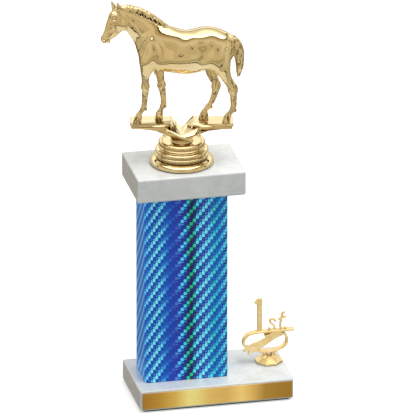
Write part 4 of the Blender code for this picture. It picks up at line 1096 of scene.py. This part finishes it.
def plinth(gold):
    """A faceted V between two shelves, with swept keels below them and a neck into the riser."""
    solids = [arm(-1, gold), arm(1, gold)]
    for side in (-1, 1):
        inner, outer = 7.0, 38.6
        upper = [(8.3, -2.4), (8.3, 0.0), (outer - 0.7, 0.0), (outer, -0.7), (outer, -2.4)]
        lower = [(inner, -4.6), (inner, -2.2), (outer - 0.9, -2.2), (outer - 0.9, -4.0), (outer - 1.7, -4.6)]
        keel_edge = smooth_path([(30, -4.3), (26, -5.0), (20, -7.2), (14, -9.8), (8, -12.2), (4, -12.8)], 3)
        keel = [(4.0, -3.0), (31.0, -3.0)] + [tuple(p) for p in keel_edge]
        fillet_edge = smooth_path([(34, -4.5), (30, -5.2), (22, -6.2), (13, -7.6), (8, -8.0)], 3)
        fillet = [(8.0, -3.0), (35.0, -3.0)] + [tuple(p) for p in fillet_edge]
        for n, (shape, low, high) in enumerate(
            ((upper, -7.5, 7.5), (lower, -7.0, 7.0), (keel, -3.6, 3.6), (fillet, -5.6, 5.6))
        ):
            solid = prism(f"shelf_{n}", [(side * x, z) for x, z in shape], low, high, gold)
            if n < 2:
                round_end(solid, side, outer, high)
            solids.append(solid)
    neck = lathe("neck", arc_corner([(0, -11.0), (8.2, -11.0), (7.6, -14.6), (8.6, -16.2), (5.1, -16.2), (5.1, -17.6), (0, -17.6)], 0.3, 3), gold, 64)
    solids.append(neck)
    piece = join_solids(solids)
    points = place([v.co for v in piece.data.vertices], FIGURE_ORIGIN, FIGURE_TWIST, PLINTH_TOP)
    piece.data.vertices.foreach_set("co", points.astype(np.float32).ravel())
    piece.data.polygons.foreach_set("use_smooth", [True] * len(piece.data.polygons))
    piece.data.update()
    applied(bevelled(piece, 0.35, 3, 25))
    return settle(piece, "figure", "bright_gold", "figure_plinth")


def horse():
    points, quads = sculpt_horse()
    gold = bright_gold_material("bright_gold_lined", lined_parts)
    piece = add_mesh("horse", place(points, FIGURE_ORIGIN, FIGURE_TWIST, PLINTH_TOP), quads, gold)
    return settle(piece, "figure", "bright_gold", "horse_left_shell", "horse_right_shell")


# ---------------------------------------------------------------- the place trim
def slab_chain(field, path, thick, deep, y=0.0, blend=0.25, steps=4):
    """A flat band or stroke that follows (x, z) points, square in section."""
    chain(field, [(x, z, y, thick / 2, deep / 2) for x, z in path], blend, steps, power=5.0)


def stroke(field, path, radius, y=-0.8):
    chain(field, [(x, z, y, radius, radius * 1.15) for x, z in path], 0.3, 4, power=2.6)


def polygon_prism(field, planes, low, high, blend=0.2):
    """The space behind planes given as (normal, distance from the origin)."""
    normals = np.array([n for n, _ in planes], float)
    normals /= np.linalg.norm(normals, axis=1)[:, None]
    offsets = np.array([d for _, d in planes], float)
    field.add(lambda points: (points @ normals.T - offsets).max(axis=1), low, high, blend)


def trim_field():
    f = Field()
    angles = [math.radians(22.5 + 45 * k) for k in range(8)]
    sides = [((math.cos(a + math.radians(22.5)), math.sin(a + math.radians(22.5)), 0), 9.7) for a in angles]
    slopes = [((math.cos(a + math.radians(22.5)), math.sin(a + math.radians(22.5)), 2.0), 5.7) for a in angles]
    polygon_prism(f, sides + slopes + [((0, 0, -1), 0.0), ((0, 0, 1), 4.9)], (-11, -11, 0), (11, 11, 5.2), 0.3)
    for s in (-1, 1):
        chain(f, [(s * 4.6, 3.2, 0, 1.6, 2.6), (s * 3.0, 4.8, 0, 1.3, 2.3), (s * 2.7, 6.0, 0, 1.3, 2.2), (s * 4.0, 8.2, 0, 1.7, 2.4)], 0.8, 4)
    chain(f, [(-5.4, 8.4, 0, 1.1, 2.4), (0, 8.0, 0, 0.9, 2.4), (5.4, 8.6, 0, 1.1, 2.4)], 0.8, 4)
    loop = [(-2.5, 21.2), (3, 22.9), (8.5, 22.8), (12.6, 20.6), (13.9, 16.6), (12.2, 12.4), (7.4, 9.6), (0, 8.4), (-6, 9.0), (-11.0, 10.6)]
    slab_chain(f, loop, 1.8, 5.2)
    roll = [(18.4, 24.6), (10, 24.6), (0, 24.5), (-9, 24.4), (-14.6, 23.6), (-18.4, 20.8), (-19.6, 16.6), (-18.4, 13.4), (-15.4, 12.4)]
    slab_chain(f, roll, 1.9, 5.2)
    front = -2.0
    for edge in (0.0, 1.0):
        slab_chain(f, [(-17.2 + 2.6 * edge, 12.4 - 2.4 * edge), (-4, 17.4 - 2.2 * edge), (3.4, 21.4 - 1.6 * edge), (8.6, 22.9 - 0.8 * edge)], 4.2 - 0.8 * edge, 1.5, front, 0.3)
    for tip in ((-19.4, 11.0), (-15.6, 7.6)):
        slab_chain(f, [(-14.0, 12.4), tip], 1.9, 1.4, front, 0.3)
    stem = [(-7.3, 25.0), (-7.3, 50.9)]
    chain(f, [(x, z, -0.6, 1.9, 1.3) for x, z in stem], 0.3, 6, power=6.0)
    chain(f, [(-6.7, 51.3, -0.6, 1.1, 1.2), (-8.6, 50.0, -0.6, 1.4, 1.2), (-10.0, 48.7, -0.6, 1.1, 1.2)], 0.3, 3, power=4.0)
    stroke(f, [(4.3, 33.1), (3.1, 34.5), (1.5, 34.3), (0.8, 32.7), (1.7, 30.8), (3.6, 29.1), (4.3, 27.3), (3.2, 25.7), (1.2, 25.7), (0.2, 27.1)], 0.85)
    stroke(f, [(11.2, 39.0), (10.5, 38.6), (9.4, 34.4), (8.7, 29.4), (9.0, 26.8), (10.4, 25.9), (12.0, 26.4)], 0.85)
    stroke(f, [(7.9, 34.3), (9.6, 34.9), (11.8, 35.2)], 0.8)
    for x, z in ((11.4, 39.2), (7.7, 34.2), (12.0, 35.3), (4.5, 32.9), (0.1, 27.3), (12.1, 26.6)):
        ellipsoid(f, (x, -0.8, z), (1.15, 1.1, 1.1), 0, 0.3)
    return f


def trim(gold):
    f = trim_field()
    points, quads = skin(f, (-23, -12, -0.6), (21, 12, 54), 0.34, 2)
    piece = add_mesh("place_trim", place(points, TRIM_ORIGIN), quads, gold)
    return settle(piece, "trim", "satin_gold", "trim_figure")


# ==== ASSEMBLY
AZIMUTH, ELEVATION = math.radians(-12.5), math.radians(23.0)


def lamp(name, where, aim, power, size):
    light = bpy.data.lights.new(name, "AREA")
    light.shape = "SQUARE"
    light.size = size
    light.energy = power
    piece = bpy.data.objects.new(name, light)
    piece.location = where
    piece.rotation_euler = (Vector(aim) - Vector(where)).to_track_quat("-Z", "Y").to_euler()
    piece.visible_glossy = False
    bpy.context.scene.collection.objects.link(piece)


def reflected_studio(n):
    """What the polished metal sees: a pale table low down, warm walls, a dark rail and a bright ceiling.

    Angles are in degrees: `up` above the horizon, `side` to the right of the camera's own direction."""
    x, y, z = n.split(n.coordinates("Generated"))
    c, s = math.cos(AZIMUTH), math.sin(AZIMUTH)
    side = n.math("ARCTAN2", x * c + y * s, x * s - y * c) * (180.0 / math.pi)
    up = n.math("ARCSINE", z) * (180.0 / math.pi)

    def within(value, centre, half, soft):
        away = n.math("ABSOLUTE", value - centre)
        return n.math("MULTIPLY", half - away, 1.0 / soft, clamp=True)

    def spot(side_at, up_at, wide, tall, soft=0.25):
        across = (side - side_at) * (1.0 / wide)
        along = (up - up_at) * (1.0 / tall)
        reach = n.math("SQRT", across * across + along * along)
        return n.math("MULTIPLY", 1.0 - reach, 1.0 / soft, clamp=True)

    def levels(stops):
        return n.ramp(up / 180.0 + 0.5, [(angle / 180.0 + 0.5, colour) for angle, colour in stops])

    front = levels([
        (-90, "#fdfcf6"), (-37, "#f6f2e6"), (-35.5, "#3a3222"), (-33.5, "#5a5038"), (-32, "#cbc5ab"), (-22, "#c6bea2"),
        (-15, "#ddd2b8"), (8, "#e6dcc4"), (30, "#d8c8a8"), (42, "#ab966e"), (44, "#15120c"), (48.5, "#15120c"),
        (50, (2.6, 2.56, 2.45, 1.0)), (90, (2.0, 1.97, 1.9, 1.0)),
    ])
    rear = levels([
        (-90, "#f4f0e2"), (-44, "#eae2cc"), (-36, "#8f7c54"), (-14, "#7a6743"), (-8, "#d8cba8"), (16, "#f6eeda"), (19, (1.35, 1.32, 1.24, 1.0)), (29, (1.35, 1.32, 1.24, 1.0)),
        (31, "#2a2418"), (34, "#2a2418"), (36, "#f6f0de"), (55, "#fbf8ec"), (64, (1.6, 1.55, 1.45, 1.0)), (90, (1.6, 1.58, 1.5, 1.0)),
    ])
    seen = n.mix(within(n.math("ABSOLUTE", side), 180.0, 78.0, 14.0), front, rear)
    window = n.math("MULTIPLY", within(side, 0.0, 44.0, 3.0), within(up, 2.0, 30.0, 3.0))
    inner = n.math("MULTIPLY", within(side, 0.0, 41.5, 3.0), within(up, 2.0, 27.5, 3.0))
    seen = n.mix(window * 0.6 - inner * 0.6, seen, "#8c7a50")
    seen = n.mix(inner * 0.25, seen, "#f4ead0")
    doorway = n.math("MULTIPLY", within(side, 2.0, 15.0, 4.0), within(up, -3.0, 17.0, 6.0))
    seen = n.mix(doorway * 0.3, seen, "#9c7c4c")
    for where in ((0.0, -5.0, 3.8, 4.4), (92.0, 0.0, 4.0, 26.0), (-94.0, -4.0, 4.0, 26.0)):
        seen = n.mix(spot(*where), seen, "#0c0a06")
    seen = n.mix(spot(0.5, -4.2, 1.6, 1.6), seen, "#ffffff")
    return seen


def build_stage():
    """A pale floor, a soft overhead and key light, and a world that only the metal sees in full."""
    reach = 9.0
    paper = Nodes("pale_paper")
    paper.put("Base Color", paper.ramp(paper.noise(paper.coordinates(), 6.0, 2.0), [(0.3, "#f8f8f7"), (0.7, "#fbfbfa")]))
    paper.put("Roughness", 0.9)
    paper.put("Emission Color", (1.0, 1.0, 1.0, 1.0))
    paper.put("Emission Strength", 0.42)
    corners = [(-reach, -reach, -0.0003), (reach, -reach, -0.0003), (reach, reach, -0.0003), (-reach, reach, -0.0003)]
    floor = add_mesh("floor", corners, [(0, 1, 2, 3)], paper.material)
    floor.visible_glossy = False
    floor.visible_diffuse = False
    lamp("overhead", (0.3, -0.25, 1.4), (0, 0, 0.1), 18.0, 1.1)
    lamp("left", (-1.5, -0.5, 0.6), (0, 0, 0.14), 5.5, 0.9)
    lamp("key", (-0.1, -1.7, 0.8), (0, 0, 0.14), 0.7, 0.9)
    world = bpy.data.worlds.new("studio")
    bpy.context.scene.world = world
    world.use_nodes = True
    background = world.node_tree.nodes["Background"]
    n = Nodes("studio_nodes")
    bpy.data.materials.remove(n.material)
    n.tree = world.node_tree
    path = n.node("ShaderNodeLightPath")
    soft = n.mix(Value(n, path.outputs["Is Camera Ray"]), 0.34, 0.93)
    n.plug(background.inputs[0], n.mix(Value(n, path.outputs["Is Glossy Ray"]), soft, reflected_studio(n)))
    background.inputs[1].default_value = 1.0


def build_camera():
    """The photograph's angle: 12.5 degrees round to the left and 23 degrees up, with a long lens."""
    distance = 12.0
    low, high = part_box("base_marble")
    middle = (low + high) / 2
    aim = Vector((middle.x, middle.y, high.z + 0.1308))
    level = math.cos(ELEVATION)
    away = Vector((math.sin(AZIMUTH) * level, -math.cos(AZIMUTH) * level, math.sin(ELEVATION)))
    data = bpy.data.cameras.new("camera")
    data.sensor_width = 36.0
    data.lens = 36.0 * distance / 0.3104
    data.clip_end = 40.0
    camera = bpy.data.objects.new("camera", data)
    camera.location = aim + away * distance
    camera.rotation_euler = (-away).to_track_quat("-Z", "Y").to_euler()
    bpy.context.scene.collection.objects.link(camera)
    bpy.context.scene.camera = camera


dress_frame()
column_wrap()
name_plate()
GOLD = bright_gold_material()
riser(GOLD)
plinth(GOLD)
horse()
trim(satin_gold_material())
build_stage()
build_camera()
bpy.context.scene.view_settings.view_transform = "Standard"
